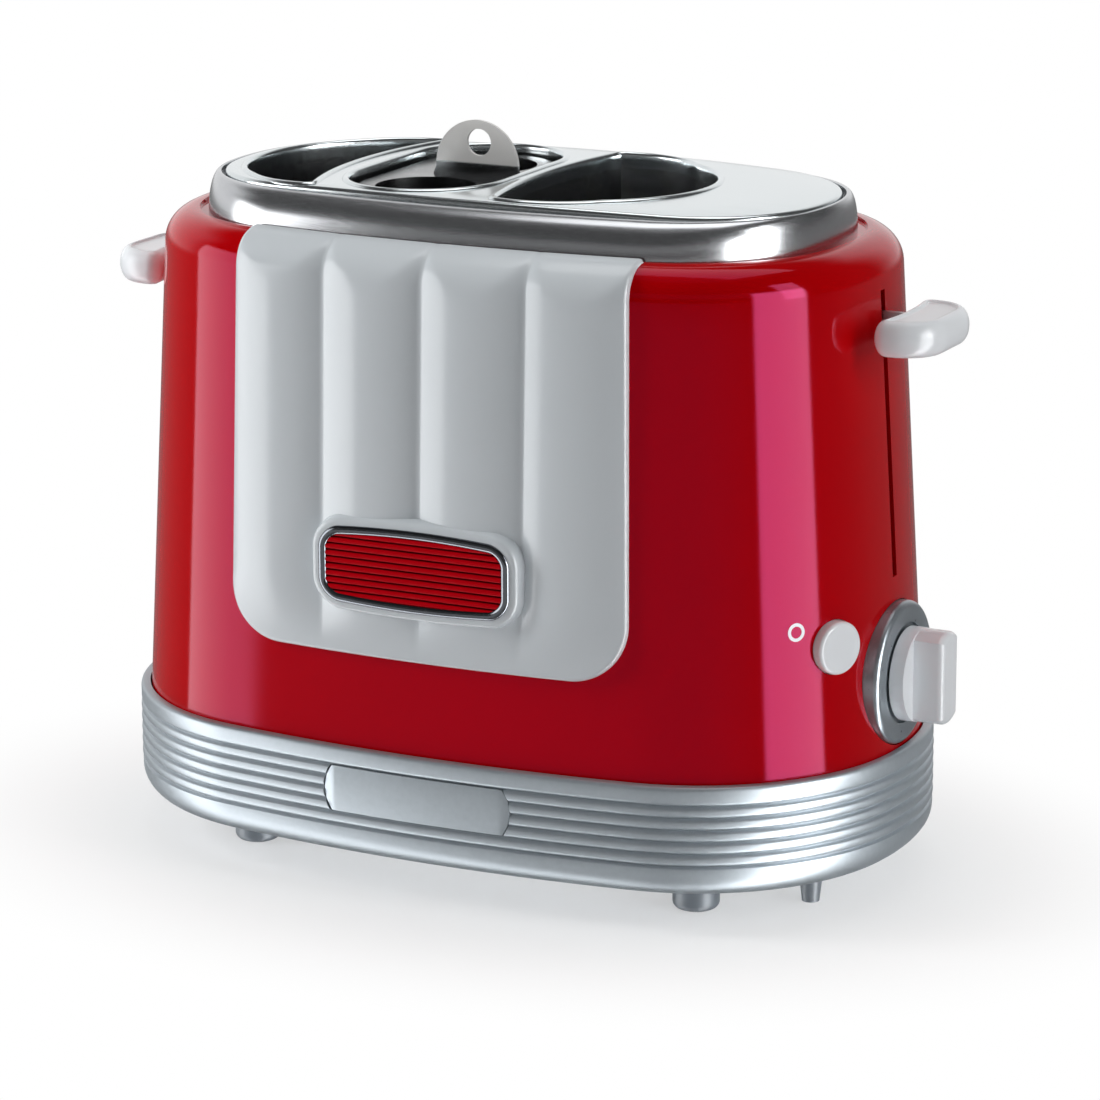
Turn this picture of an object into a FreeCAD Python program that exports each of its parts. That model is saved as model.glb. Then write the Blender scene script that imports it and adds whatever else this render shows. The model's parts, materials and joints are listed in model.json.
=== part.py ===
import FreeCAD, Part
import math
import os
import re
import Sketcher

# Hot dog toaster with two bun slots, a lift-out sausage basket and a lever at each end.
# Origin on the worktop under the middle of the body, +X towards the timer knob, -Y to the front.

doc = FreeCAD.newDocument("HotDogToaster")
V = FreeCAD.Vector

# Driving dimensions in millimetres and degrees
SIZES = [
    ("body_half_length", 140.0, "red body at its foot, along X"),
    ("body_half_depth", 83.8, "red body at its foot, along Y"),
    ("front_arc", 536.0, "radius of the long front and rear faces"),
    ("end_arc", 107.0, "radius of the two ends"),
    ("corner_arc", 74.0, "radius of the four corners"),
    ("body_foot", 51.8, "height where the red body leaves the skirt"),
    ("body_top", 222.0, "height of the flat top of the body"),
    ("length_taper", 0.062, "how much each end leans in per mm of height"),
    ("depth_taper", 0.036, "how much front and rear lean in per mm of height"),
    ("shoulder", 11.0, "rounding between wall and top"),
    ("gutter", 1.2, "how deep the collar sits in the top of the body"),
    ("body_wall", 2.4, "thickness of the red body"),
    ("seat_gap", 0.3, "clearance between pieces that only rest together"),
    ("run_gap", 0.05, "radial clearance of a shaft in its bearing"),
    ("skirt_foot", 13.0, "height of the underside of the skirt"),
    ("skirt_reach", 3.7, "how far the skirt stands out past the red body"),
    ("skirt_wall", 3.4, "thickness of the skirt"),
    ("skirt_floor", 3.5, "thickness of the skirt's floor"),
    ("skirt_round", 9.0, "rounding under the skirt"),
    ("groove_pitch", 4.15, "spacing of the grooves round the skirt"),
    ("groove_first", 24.6, "height of the lowest groove"),
    ("groove_radius", 0.9, "half width of a groove"),
    ("groove_count", 6, "grooves round the skirt"),
    ("nameplate_half", 35.0, "half width of the nameplate recess"),
    ("nameplate_bulge", 5.0, "how far the recess ends bulge"),
    ("hatch_length", 98.0, "half length of the opening in the skirt's floor"),
    ("hatch_depth", 40.0, "half depth of the opening in the skirt's floor"),
    ("sheet", 1.2, "thickness of the pressed steel sheets"),
    ("foot_x", 85.0, "feet from the middle, along X"),
    ("foot_y", 46.0, "feet from the middle, along Y"),
    ("foot_radius", 8.0, "half width of a foot"),
    ("peg_x", 117.0, "cord pegs from the middle, along X"),
    ("peg_y", 23.0, "cord pegs from the middle, along Y"),
    ("collar_half_length", 113.6, "steel collar at its foot, along X"),
    ("collar_half_depth", 65.8, "steel collar at its foot, along Y"),
    ("collar_top", 234.0, "height of the collar's upper edge"),
    ("plate_half_length", 110.0, "steel top plate, along X"),
    ("plate_half_depth", 54.6, "steel top plate, along Y"),
    ("plate_top", 236.4, "height of the top plate in the middle"),
    ("plate_crown", 3500.0, "radius of the slight dome of the top plate"),
    ("plate_rim", 4.0, "height of the top plate's turned-down rim"),
    ("rim_gap", 1.2, "dark gap between the plate and the collar"),
    ("collar_edge", 0.8, "width of the collar's upper edge"),
    ("ledge", 0.7, "width of the ledge that carries the plate"),
    ("lip_depth", 5.0, "depth of the turned-down lips round the openings"),
    ("liner_depth", 30.0, "how far the liners of the openings reach below the plate"),
    ("lip_wall", 1.0, "thickness of the lips"),
    ("slot_reach", 48.0, "half length of the openings, along Y"),
    ("left_outer", -103.0, "outer side of the left bun slot"),
    ("left_inner", -66.0, "inner side of the left bun slot at mid depth"),
    ("left_corner", -58.5, "inner corners of the left bun slot"),
    ("basket_left", -54.5, "left side of the basket opening"),
    ("basket_right", -1.0, "right side of the basket opening"),
    ("right_inner", 6.0, "inner side of the right bun slot at mid depth"),
    ("right_corner", 11.5, "inner corners of the right bun slot"),
    ("right_outer", 66.0, "outer side of the right bun slot"),
    ("panel_half_width", 74.5, "white panel at its foot"),
    ("panel_top_half", 72.5, "white panel at its top"),
    ("panel_foot", 84.0, "height of the white panel's lower edge"),
    ("panel_corner", 20.0, "lower corners of the white panel"),
    ("panel_base", 1.2, "panel thickness in the creases"),
    ("rib_bulge", 3.5, "how far each rib swells past the creases"),
    ("rib_count", 4, "ribs across the panel"),
    ("border", 2.4, "thickness of the plain border below the ribs"),
    ("badge_height", 116.0, "height of the badge's middle"),
    ("badge_half_width", 35.0, "chrome bezel, half width"),
    ("badge_half_tall", 14.0, "chrome bezel, half height in the middle"),
    ("badge_barrel", 1.6, "how much lower the bezel is at its ends"),
    ("badge_rim", 2.6, "width of the chrome bezel"),
    ("badge_corner", 5.0, "rounding of the bezel's corners"),
    ("badge_stand", 3.6, "how far the bezel's face stands out past the body at its foot"),
    ("lever_rest", 195.0, "height of the lever's middle at rest"),
    ("lever_travel", 76.0, "how far the levers go down"),
    ("lever_tip", 157.0, "outer end of the levers"),
    ("lever_half_width", 23.0, "half width of the levers"),
    ("lever_thick", 12.0, "thickness of the levers at their outer end"),
    ("lever_round", 15.0, "outer corners of the levers"),
    ("arm_thick", 2.0, "thickness of the lever arms"),
    ("slot_width", 3.4, "width of the lever slots in the body"),
    ("rack_height", 136.0, "height of the racks at rest"),
    ("rack_clearance", 3.0, "racks inside the bun slots"),
    ("beam_y", 50.0, "lift beams from the middle"),
    ("beam_tall", 10.0, "height of the lift beams"),
    ("chamber_half_depth", 58.0, "steel reflector, along Y"),
    ("chamber_left", -109.2, "steel reflector's closed end"),
    ("chamber_right", 71.0, "face of the mechanism frame"),
    ("chamber_top", 213.0, "top of the reflector and the frames"),
    ("board_thick", 0.8, "mica heater boards"),
    ("board_low", 62.0, "lower edge of the heater boards"),
    ("board_high", 200.0, "upper edge of the heater boards"),
    ("ribbon", 0.4, "thickness of the heating ribbon"),
    ("ribbon_wide", 2.0, "width of the heating ribbon"),
    ("ribbon_turns", 10, "turns of ribbon on each board"),
    ("wire", 1.6, "diameter of the bun guard wires"),
    ("rod_radius", 2.5, "guide rods"),
    ("rod_x_right", 88.0, "right guide rod, along X"),
    ("rod_x_left", -119.5, "left guide rod, along X"),
    ("rod_y", 14.0, "guide rods and springs from the middle"),
    ("bush_radius", 4.0, "outside of the brass bushes"),
    ("bush_long", 20.0, "length of the brass bushes"),
    ("cage_radius", 18.0, "outside of a sausage cage"),
    ("cage_wall", 0.8, "thickness of a sausage cage"),
    ("cage_spacing", 46.0, "between the two sausage cages"),
    ("cage_windows", 6, "windows round a sausage cage"),
    ("basket_top", 233.4, "height of the basket's top plate"),
    ("lid_gap", 3.0, "gap round the basket's top plate"),
    ("tab_half_width", 17.2, "lifting tab, half width"),
    ("tab_height", 19.6, "lifting tab above the basket's plate"),
    ("tab_hole", 4.6, "radius of the hole in the lifting tab"),
    ("tab_hole_up", 12.6, "hole above the basket's plate"),
    ("dial_height", 77.0, "height of the timer dial"),
    ("dial_radius", 24.4, "timer dial ring"),
    ("dial_face", 141.0, "face of the dial ring, along X"),
    ("knob_radius", 16.0, "timer knob"),
    ("knob_face", 157.0, "outer face of the knob's grip"),
    ("grip_wide", 14.0, "width of the knob's grip"),
    ("shaft_radius", 3.0, "timer shaft"),
    ("button_radius", 9.0, "stop button"),
    ("button_y", -36.0, "stop button from the middle, along Y"),
    ("button_height", 93.8, "height of the stop button"),
    ("button_proud", 3.0, "how far the button stands out"),
    ("button_travel", 2.5, "how far the button goes in"),
    ("tray_left", -95.0, "crumb tray"),
    ("tray_right", 57.0, "crumb tray"),
    ("tray_front", -54.0, "crumb tray"),
    ("tray_floor", 20.0, "height of the crumb tray"),
    ("tray_tall", 22.0, "depth of the crumb tray"),
    ("gland_x", 74.0, "cord gland from the middle"),
    ("gland_height", 33.0, "height of the cord gland"),
    ("gland_bore", 3.8, "radius of the cord gland's bore"),
]

sheet = doc.addObject("Spreadsheet::Sheet", "Sizes")
for row, (alias, number, note) in enumerate(SIZES, start=1):
    sheet.set("A%d" % row, note)
    sheet.set("B%d" % row, str(number))
    sheet.setAlias("B%d" % row, alias)
doc.recompute()

ALIASES = [alias for alias, number, note in SIZES]


class Numbers:
    """The sheet's numbers, read by their alias."""

    def __getattr__(self, alias):
        return float(sheet.get(alias))


s = Numbers()


def formula(text):
    """Write an expression with each alias pointing into the sheet."""
    return re.sub(r"[a-z][a-z_]+", lambda word: "Sizes." + word[0] if word[0] in ALIASES else word[0], text)


def bind(thing, **sizes):
    for name, text in sizes.items():
        thing.setExpression(name.replace("__", "."), formula(text))
    return thing


# Outlines: every level of the body is an eight-arc oval with the same joint angles,
# so the faces between two levels run smoothly into each other.

def oval_angles():
    front = (0.0, s.body_half_depth - s.front_arc)
    end = (s.body_half_length - s.end_arc, 0.0)
    far = math.hypot(end[0] - front[0], end[1] - front[1])
    reach = s.front_arc - s.corner_arc
    short = s.end_arc - s.corner_arc
    along = (far ** 2 + reach ** 2 - short ** 2) / (2 * far)
    aside = math.sqrt(reach ** 2 - along ** 2)
    ux = (end[0] - front[0]) / far
    uy = (end[1] - front[1]) / far
    corner = (front[0] + along * ux - aside * -uy, front[1] + along * uy + aside * -ux)
    first = math.atan2(corner[0] - front[0], corner[1] - front[1])
    second = math.pi / 2 - math.atan2(corner[1], corner[0] - end[0])
    return first, second


ANGLE_FRONT, ANGLE_END = oval_angles()


def oval_radii(length, depth, corner):
    """Front and end radii of an oval with the shared joint angles."""
    sin1, cos1 = math.sin(ANGLE_FRONT), math.cos(ANGLE_FRONT)
    sin2, cos2 = math.sin(ANGLE_END), math.cos(ANGLE_END)
    rest_y = depth - corner * (cos1 - cos2)
    rest_x = length - corner * (sin2 - sin1)
    det = (1 - cos1) * (1 - sin2) - cos2 * sin1
    front = (rest_y * (1 - sin2) - cos2 * rest_x) / det
    end = ((1 - cos1) * rest_x - sin1 * rest_y) / det
    return front, end


def oval_corner(length, depth):
    """Radius and centre of an oval's corner arc."""
    corner = s.corner_arc - (s.body_half_length - length + s.body_half_depth - depth) / 2
    front = oval_radii(length, depth, corner)[0]
    cx = (front - corner) * math.sin(ANGLE_FRONT)
    cy = depth - front + (front - corner) * math.cos(ANGLE_FRONT)
    return corner, cx, cy


def oval_arcs(length, depth):
    """The eight arcs of an oval, anticlockwise from the +X end, in its own plane."""
    corner, cx, cy = oval_corner(length, depth)
    front, end = oval_radii(length, depth, corner)
    tilt_end = math.pi / 2 - ANGLE_END
    tilt_front = math.pi / 2 - ANGLE_FRONT
    quarter = [
        (length - end, 0.0, end, -tilt_end, tilt_end),
        (cx, cy, corner, tilt_end, tilt_front),
        (0.0, depth - front, front, tilt_front, math.pi - tilt_front),
        (-cx, cy, corner, math.pi - tilt_front, math.pi - tilt_end),
    ]
    arcs = []
    for half in (0.0, math.pi):
        turn = 1 if half == 0 else -1
        for x, y, radius, start, stop in quarter:
            circle = Part.Circle(V(x * turn, y * turn, 0), V(0, 0, 1), radius)
            arcs.append(Part.ArcOfCircle(circle, start + half, stop + half))
    return arcs


def body_length(z):
    return s.body_half_length - s.length_taper * (z - s.body_foot)


def body_depth(z):
    return s.body_half_depth - s.depth_taper * (z - s.body_foot)


# Feature helpers

def new_body(name):
    body = doc.addObject("PartDesign::Body", name)
    body.Label = name
    return body


def plane(body, role):
    return [item for item in body.Origin.OriginFeatures if item.Role == role][0]


def sketch(body, name, role="XY_Plane", at="0 mm"):
    """A sketch on one of the body's planes; at is its height above that plane."""
    drawing = body.newObject("Sketcher::SketchObject", name)
    drawing.AttachmentSupport = (plane(body, role), "")
    drawing.MapMode = "FlatFace"
    drawing.setExpression("AttachmentOffset.Base.z", formula(at))
    return drawing


def draw_oval(drawing, length, depth):
    drawing.addGeometry(oval_arcs(length, depth), False)
    return drawing


def draw_circle(drawing, x, y, radius):
    """A circle whose centre and radius follow the sheet."""
    index = drawing.addGeometry(Part.Circle(V(1, 1, 0), V(0, 0, 1), 1), False)
    for kind, args, text in (("DistanceX", (-1, 1, index, 3), x), ("DistanceY", (-1, 1, index, 3), y),
                             ("Radius", (index,), radius)):
        number = drawing.addConstraint(Sketcher.Constraint(kind, *args, 1.0))
        drawing.setExpression("Constraints[%d]" % number, formula(text))
    return index


def draw_path(drawing, points):
    """A closed outline. A point is (x, y), or (x, y, mx, my) for an arc that reaches it through (mx, my)."""
    shapes = []
    for before, point in zip([points[-1]] + points[:-1], points):
        start = V(before[0], before[1], 0)
        stop = V(point[0], point[1], 0)
        if len(point) == 2:
            shapes.append(Part.LineSegment(start, stop))
        else:
            shapes.append(Part.Arc(start, V(point[2], point[3], 0), stop))
    drawing.addGeometry(shapes, False)
    return drawing


def pad(body, drawing, length, down=False):
    feature = body.newObject("PartDesign::Pad", drawing.Name + "_pad")
    feature.Profile = drawing
    feature.Reversed = down
    bind(feature, Length=length)
    return feature


def pocket(body, drawing, length, up=False):
    feature = body.newObject("PartDesign::Pocket", drawing.Name + "_pocket")
    feature.Profile = drawing
    feature.Reversed = up
    bind(feature, Length=length)
    return feature


def round_edges(body, name, radius, wanted):
    """Round the edges of the body so far that wanted accepts."""
    doc.recompute()
    tip = body.Tip
    picked = ["Edge%d" % (n + 1) for n, edge in enumerate(tip.Shape.Edges) if wanted(edge)]
    feature = body.newObject("PartDesign::Fillet", name)
    feature.Base = (tip, picked)
    bind(feature, Radius=radius)
    return feature


def at_height(z, tolerance=0.01):
    """Accept edges that lie flat at one height."""
    return lambda edge: abs(edge.BoundBox.ZMin - z) < tolerance and abs(edge.BoundBox.ZMax - z) < tolerance


def block(name, x, y, z):
    """A box from one corner to the other; each of x, y and z is a pair of formulas."""
    box = doc.addObject("Part::Box", name)
    bind(box, Length="(%s) - (%s)" % (x[1], x[0]), Width="(%s) - (%s)" % (y[1], y[0]),
         Height="(%s) - (%s)" % (z[1], z[0]), Placement__Base__x=x[0], Placement__Base__y=y[0],
         Placement__Base__z=z[0])
    return box


def rod(name, at, radius, long, axis="z"):
    """A cylinder that starts at one point and runs along an axis."""
    bar = doc.addObject("Part::Cylinder", name)
    turn = {"x": FreeCAD.Rotation(V(0, 1, 0), 90), "y": FreeCAD.Rotation(V(1, 0, 0), -90),
            "z": FreeCAD.Rotation()}[axis]
    bar.Placement = FreeCAD.Placement(V(0, 0, 0), turn)
    bind(bar, Radius=radius, Height=long, Placement__Base__x=at[0], Placement__Base__y=at[1],
         Placement__Base__z=at[2])
    return bar


def fuse(name, *pieces):
    joined = doc.addObject("Part::MultiFuse", name)
    joined.Shapes = list(pieces)
    joined.Refine = True
    return joined


def cut(name, base, *tools):
    """Take each tool away in turn."""
    for count, tool in enumerate(tools, start=1):
        step = doc.addObject("Part::Cut", name if count == len(tools) else "%s_step_%d" % (name, count))
        step.Base = base
        step.Tool = tool
        base = step
    return base


def common(name, first, second):
    shared = doc.addObject("Part::MultiCommon", name)
    shared.Shapes = [first, second]
    return shared


def group(name, pieces):
    """Separate solids that share one node."""
    bunch = doc.addObject("Part::Compound", name)
    bunch.Links = list(pieces)
    return bunch


NODES = []


def keep(thing, name=None):
    """List a finished sub-part; its label names its node."""
    if name:
        thing.Label = name
    NODES.append(thing)
    return thing


# Red body: a tapering shell with a rounded shoulder, open below and under the collar

def body_level(body, name, z, inset):
    """The body's outline at one height, moved in by a distance."""
    return draw_oval(sketch(body, name, at=str(z)), body_length(z) - inset, body_depth(z) - inset)


def loft(body, name, levels, ruled):
    feature = body.newObject("PartDesign::AdditiveLoft", name)
    feature.Profile = levels[0]
    feature.Sections = levels[1:]
    feature.Ruled = ruled
    return feature


def body_form(name, walls, grow_top, steps):
    """The form of the red body: straight walls through (height, growth) pairs, then a shoulder."""
    form = new_body(name)
    spring = s.body_top - s.shoulder
    grow = walls[-1][1]
    levels = [body_level(form, "%s_wall_%d" % (name, n), z, -out) for n, (z, out) in enumerate(walls)]
    levels.append(body_level(form, name + "_spring", spring, -grow))
    loft(form, name + "_wall", levels, True)
    shoulder = []
    for step in range(steps + 1):
        angle = math.radians(90.0 * step / steps)
        shoulder.append(body_level(form, "%s_shoulder_%d" % (name, step),
                                   spring + (s.shoulder + grow_top) * math.sin(angle),
                                   (s.shoulder + grow) * (1 - math.cos(angle)) - grow))
    loft(form, name + "_shoulder", shoulder, steps < 3)
    return form


SHOULDER_STEPS = 6
SHELL_FOOT = s.body_foot - 5.0
outer_form = body_form("body_outside", [(SHELL_FOOT, 0.0)], 0.0, SHOULDER_STEPS)
inner_form = body_form("body_inside", [(SHELL_FOOT - 1.0, -s.body_wall)], -s.body_wall, 2)
doc.recompute()

top_hole = new_body("top_hole")
pad(top_hole, draw_oval(sketch(top_hole, "top_hole_outline", at="body_top - 10"),
                        s.collar_half_length - 4.0, s.collar_half_depth - 4.0), "20")
gutter = new_body("gutter")
RIM = s.shoulder + 0.6
pad(gutter, draw_oval(sketch(gutter, "gutter_outline", at="body_top - gutter"),
                      body_length(s.body_top) - RIM, body_depth(s.body_top) - RIM), "20")
SLOT_LOW, SLOT_HIGH = "lever_rest - lever_travel - 9", "lever_rest + 12"
lever_slots = block("lever_slots", ("-body_half_length - 9", "body_half_length + 9"),
                    ("-slot_width / 2", "slot_width / 2"), (SLOT_LOW, SLOT_HIGH))
dial_hole = rod("dial_hole", ("body_half_length - 30", "0", "dial_height"), "dial_radius + seat_gap", "50", "x")

CORNER, CORNER_X, CORNER_Y = oval_corner(body_length(s.button_height), body_depth(s.button_height))
BUTTON_TURN = -math.asin((-s.button_y - CORNER_Y) / CORNER)
BUTTON_AXIS = V(math.cos(BUTTON_TURN), math.sin(BUTTON_TURN), 0)
BUTTON_SKIN = V(CORNER_X, -CORNER_Y, s.button_height) + BUTTON_AXIS * CORNER


def along_button(name, start, long, radius):
    """A cylinder on the stop button's axis; start is measured outwards from the body's skin."""
    bar = doc.addObject("Part::Cylinder", name)
    bind(bar, Radius=radius, Height=long)
    bar.Placement = FreeCAD.Placement(BUTTON_SKIN + BUTTON_AXIS * start, FreeCAD.Rotation(V(0, 0, 1), BUTTON_AXIS))
    return bar


button_hole = along_button("button_hole", -20, "40", "button_radius + seat_gap")
keep(cut("outer_shell", outer_form, inner_form, top_hole, gutter, lever_slots, dial_hole, button_hole))

# Skirt: a ribbed tub round the foot of the body, with a hatch in its floor

SKIRT_LENGTH = s.body_half_length + s.skirt_reach
SKIRT_DEPTH = s.body_half_depth + s.skirt_reach
skirt = new_body("skirt_tub")
pad(skirt, draw_oval(sketch(skirt, "skirt_outline", at="skirt_foot"), SKIRT_LENGTH, SKIRT_DEPTH),
    "body_foot - skirt_foot")
round_edges(skirt, "skirt_under", "skirt_round", at_height(s.skirt_foot))
round_edges(skirt, "skirt_brow", "groove_radius", at_height(s.body_foot))
pocket(skirt, draw_oval(sketch(skirt, "skirt_seat", at="body_foot"),
                        body_length(SHELL_FOOT) + s.seat_gap, body_depth(SHELL_FOOT) + s.seat_gap),
       "5")
pocket(skirt, draw_oval(sketch(skirt, "skirt_hollow", at="body_foot - 5"),
                        SKIRT_LENGTH - s.skirt_wall - 3.4, SKIRT_DEPTH - s.skirt_wall - 3.4),
       "body_foot - 5 - skirt_foot - skirt_floor")
pocket(skirt, draw_oval(sketch(skirt, "skirt_hatch", at="skirt_foot + skirt_floor"), s.hatch_length, s.hatch_depth),
       "skirt_floor + 1")

groove_path = sketch(skirt, "groove_path", at="groove_first")
draw_oval(groove_path, SKIRT_LENGTH, SKIRT_DEPTH)
groove_shape = sketch(skirt, "groove_shape", "XZ_Plane")
draw_path(groove_shape, [(SKIRT_LENGTH + 1, s.groove_first - s.groove_radius),
                         (SKIRT_LENGTH + 1, s.groove_first + s.groove_radius),
                         (SKIRT_LENGTH, s.groove_first + s.groove_radius),
                         (SKIRT_LENGTH, s.groove_first - s.groove_radius,
                          SKIRT_LENGTH - s.groove_radius, s.groove_first)])
groove = skirt.newObject("PartDesign::SubtractivePipe", "groove")
groove.Profile = groove_shape
groove.Spine = (groove_path, ["Edge%d" % n for n in range(1, 9)])
doc.recompute()
grooves = skirt.newObject("PartDesign::LinearPattern", "grooves")
grooves.Originals = [groove]
grooves.Direction = (plane(skirt, "Z_Axis"), [""])
bind(grooves, Length="groove_pitch * (groove_count - 1)", Occurrences="groove_count")
skirt.Tip = grooves
doc.recompute()

# Nameplate: a bare plate in a recess with bulging ends, one pitch inside the ribs

RECESS_LOW = s.groove_first + s.groove_pitch
RECESS_HIGH = s.groove_first + s.groove_pitch * (s.groove_count - 1)
RECESS_MIDDLE = (RECESS_LOW + RECESS_HIGH) / 2


def nameplate_outline(body, name, inset):
    half = s.nameplate_half - inset
    bulge = half + s.nameplate_bulge
    low, high = RECESS_LOW + inset, RECESS_HIGH - inset
    return draw_path(sketch(body, name, "XZ_Plane", "body_half_depth - 12"),
                     [(half, low), (half, high, bulge, RECESS_MIDDLE), (-half, high),
                      (-half, low, -bulge, RECESS_MIDDLE)])


def skirt_layer(name, inset, low, high):
    """The skirt's plain outline between two heights, moved in by a distance."""
    layer = new_body(name)
    pad(layer, draw_oval(sketch(layer, name + "_outline", at=low), SKIRT_LENGTH - inset, SKIRT_DEPTH - inset),
        "(%s) - (%s)" % (high, low))
    return layer


recess_tool = new_body("recess_tool")
pad(recess_tool, nameplate_outline(recess_tool, "recess_outline", 0.0), "40")
recess = cut("recess", recess_tool, skirt_layer("recess_depth", s.groove_radius + 0.7, "skirt_foot", "body_foot"))
plate_tool = new_body("nameplate_tool")
pad(plate_tool, nameplate_outline(plate_tool, "nameplate_outline", s.seat_gap), "40")
plate_front = common("nameplate_front", plate_tool, skirt_layer("nameplate_face", 0.4, "skirt_foot", "body_foot"))
keep(cut("nameplate", plate_front,
         skirt_layer("nameplate_back", s.groove_radius + 0.7, "skirt_foot", "body_foot")))

# Crumb tray: a steel pan with a ribbed front that fills a window in the rear of the skirt

TRAY_HIGH = "tray_floor + tray_tall"
tray_window = block("tray_window", ("tray_left - 1", "tray_right + 1"), ("60", "body_half_depth + 20"),
                    ("tray_floor - 1", TRAY_HIGH + " + 1"))
gland_seat = rod("gland_seat", ("gland_x", "body_half_depth - 20", "gland_height"), "gland_bore + 4", "40", "y")
keep(cut("base_skirt", skirt, recess, tray_window, gland_seat))

tray_front_tool = block("tray_front_tool", ("tray_left - 0.5", "tray_right + 0.5"),
                        ("60.2", "body_half_depth + 20"), ("tray_floor - 0.5", TRAY_HIGH + " + 0.5"))
tray_skin = common("tray_skin", skirt, tray_front_tool)
keep(cut("tray_front", tray_skin, skirt_layer("tray_behind", 7.5, "skirt_foot", "body_foot")))
tray_back = skirt_layer("tray_reach", 7.5, "skirt_foot", "body_foot")
tray_box = block("tray_box", ("tray_left", "tray_right"), ("tray_front", "body_half_depth"),
                 ("tray_floor", TRAY_HIGH))
tray_inside = block("tray_inside", ("tray_left + sheet", "tray_right - sheet"),
                    ("tray_front + sheet", "body_half_depth - 24"), ("tray_floor + sheet", TRAY_HIGH + " + 1"))
keep(cut("crumb_tray", common("tray_shape", tray_box, tray_back), tray_inside))

# Base plate: a steel sheet on the skirt's floor, with screws; feet and cord pegs below

FLOOR = "skirt_foot + skirt_floor + sheet"

base = new_body("base_plate")
pad(base, draw_oval(sketch(base, "base_outline", at="skirt_foot + skirt_floor"),
                    SKIRT_LENGTH - 12, SKIRT_DEPTH - 12), "sheet")
holes = sketch(base, "base_holes", at="skirt_foot + skirt_floor")
SCREWS = [(x, y) for x in ("-60", "0", "60") for y in ("-hatch_depth - 1.5", "hatch_depth + 1.5")]
for x, y in SCREWS:
    draw_circle(holes, x, y, "1.6")
pocket(base, holes, "sheet + 1", up=True)
keep(base)
screws = []
for number, (x, y) in enumerate(SCREWS, start=1):
    head = rod("screw_head_%d" % number, (x, y, FLOOR), "2.6", "1.6")
    stem = rod("screw_stem_%d" % number, (x, y, "skirt_foot + skirt_floor"), "1.4", "sheet + 0.1")
    screws.append(fuse("screw_%d" % number, head, stem))
keep(group("base_screws", screws))

for name, side_x, side_y in (("front_left", "-", "-"), ("front_right", "", "-"),
                             ("rear_left", "-", ""), ("rear_right", "", "")):
    foot = new_body("foot_" + name)
    x, y = side_x + "foot_x", side_y + "foot_y"
    round_sole = sketch(foot, "sole_" + name)
    draw_circle(round_sole, x, y, "foot_radius")
    pad(foot, round_sole, "skirt_foot")
    web = sketch(foot, "web_" + name)
    inner_x = s.foot_x * (-1 if side_x else 1)
    toward = -1 if inner_x > 0 else 1
    middle_y = s.foot_y * (-1 if side_y else 1)
    draw_path(web, [(inner_x, middle_y - 4), (inner_x + toward * 18, middle_y - 4),
                    (inner_x + toward * 18, middle_y + 4), (inner_x, middle_y + 4)])
    bind(web, AttachmentOffset__Base__z="skirt_foot - 6")
    pad(foot, web, "6")
    round_edges(foot, "sole_round_" + name, "2.5", at_height(0))
    keep(foot)

pegs = []
for number, (x, y) in enumerate((("-", "-"), ("-", ""), ("", "-"), ("", "")), start=1):
    peg = doc.addObject("Part::Cone", "cord_peg_%d" % number)
    bind(peg, Radius1="3", Radius2="4.5", Height="skirt_foot", Placement__Base__x=x + "peg_x",
         Placement__Base__y=y + "peg_y")
    pegs.append(peg)
keep(group("cord_pegs", pegs))

# Cord gland: a flanged sleeve in the rear of the skirt

gland_y = SKIRT_DEPTH - 14.0
sleeve = rod("gland_sleeve", ("gland_x", str(gland_y), "gland_height"), "gland_bore + 4 - seat_gap / 3", "11", "y")
collar_in = rod("gland_flange", ("gland_x", str(gland_y - 3), "gland_height"), "gland_bore + 6", "3", "y")
gland_bore = rod("gland_hole", ("gland_x", str(gland_y - 5), "gland_height"), "gland_bore", "20", "y")
keep(cut("cord_gland", fuse("gland_solid", sleeve, collar_in), gland_bore))

# Steel collar on top of the body, with a ledge for the top plate

collar = new_body("collar_ring")
COLLAR_FOOT = s.body_top - s.gutter
collar_band = []
for step in range(SHOULDER_STEPS + 1):
    angle = math.radians(90.0 * step / SHOULDER_STEPS)
    lean_x = (s.collar_half_length - s.plate_half_length - s.rim_gap - s.collar_edge) * (1 - math.cos(angle))
    lean_y = (s.collar_half_depth - s.plate_half_depth - s.rim_gap - s.collar_edge) * (1 - math.cos(angle))
    height = COLLAR_FOOT + (s.collar_top - COLLAR_FOOT) * math.sin(angle)
    collar_band.append(draw_oval(sketch(collar, "collar_band_%d" % step, at=str(height)),
                                 s.collar_half_length - lean_x, s.collar_half_depth - lean_y))
loft(collar, "collar_band", collar_band, False)
pocket(collar, draw_oval(sketch(collar, "collar_well", at="collar_top"),
                         s.plate_half_length + s.rim_gap, s.plate_half_depth + s.rim_gap),
       "collar_top - (plate_top - plate_rim - 2)")
pocket(collar, draw_oval(sketch(collar, "collar_through", at="collar_top"),
                         s.plate_half_length - s.ledge, s.plate_half_depth - s.ledge), "collar_top - body_top + 5")
keep(collar)

# Top plate: a slightly domed pan with a turned-down rim and lips round three openings

LEDGE_TOP = "plate_top - plate_rim - 2"


def ball(name, drop):
    """The dome that the plate's upper or lower face follows."""
    dome = doc.addObject("Part::Sphere", name)
    dome.Placement = FreeCAD.Placement(V(0, 0, 0), FreeCAD.Rotation(V(1, 0, 0), 90))
    bind(dome, Radius="plate_crown - (%s)" % drop, Placement__Base__z="plate_top - plate_crown")
    return dome


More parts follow.
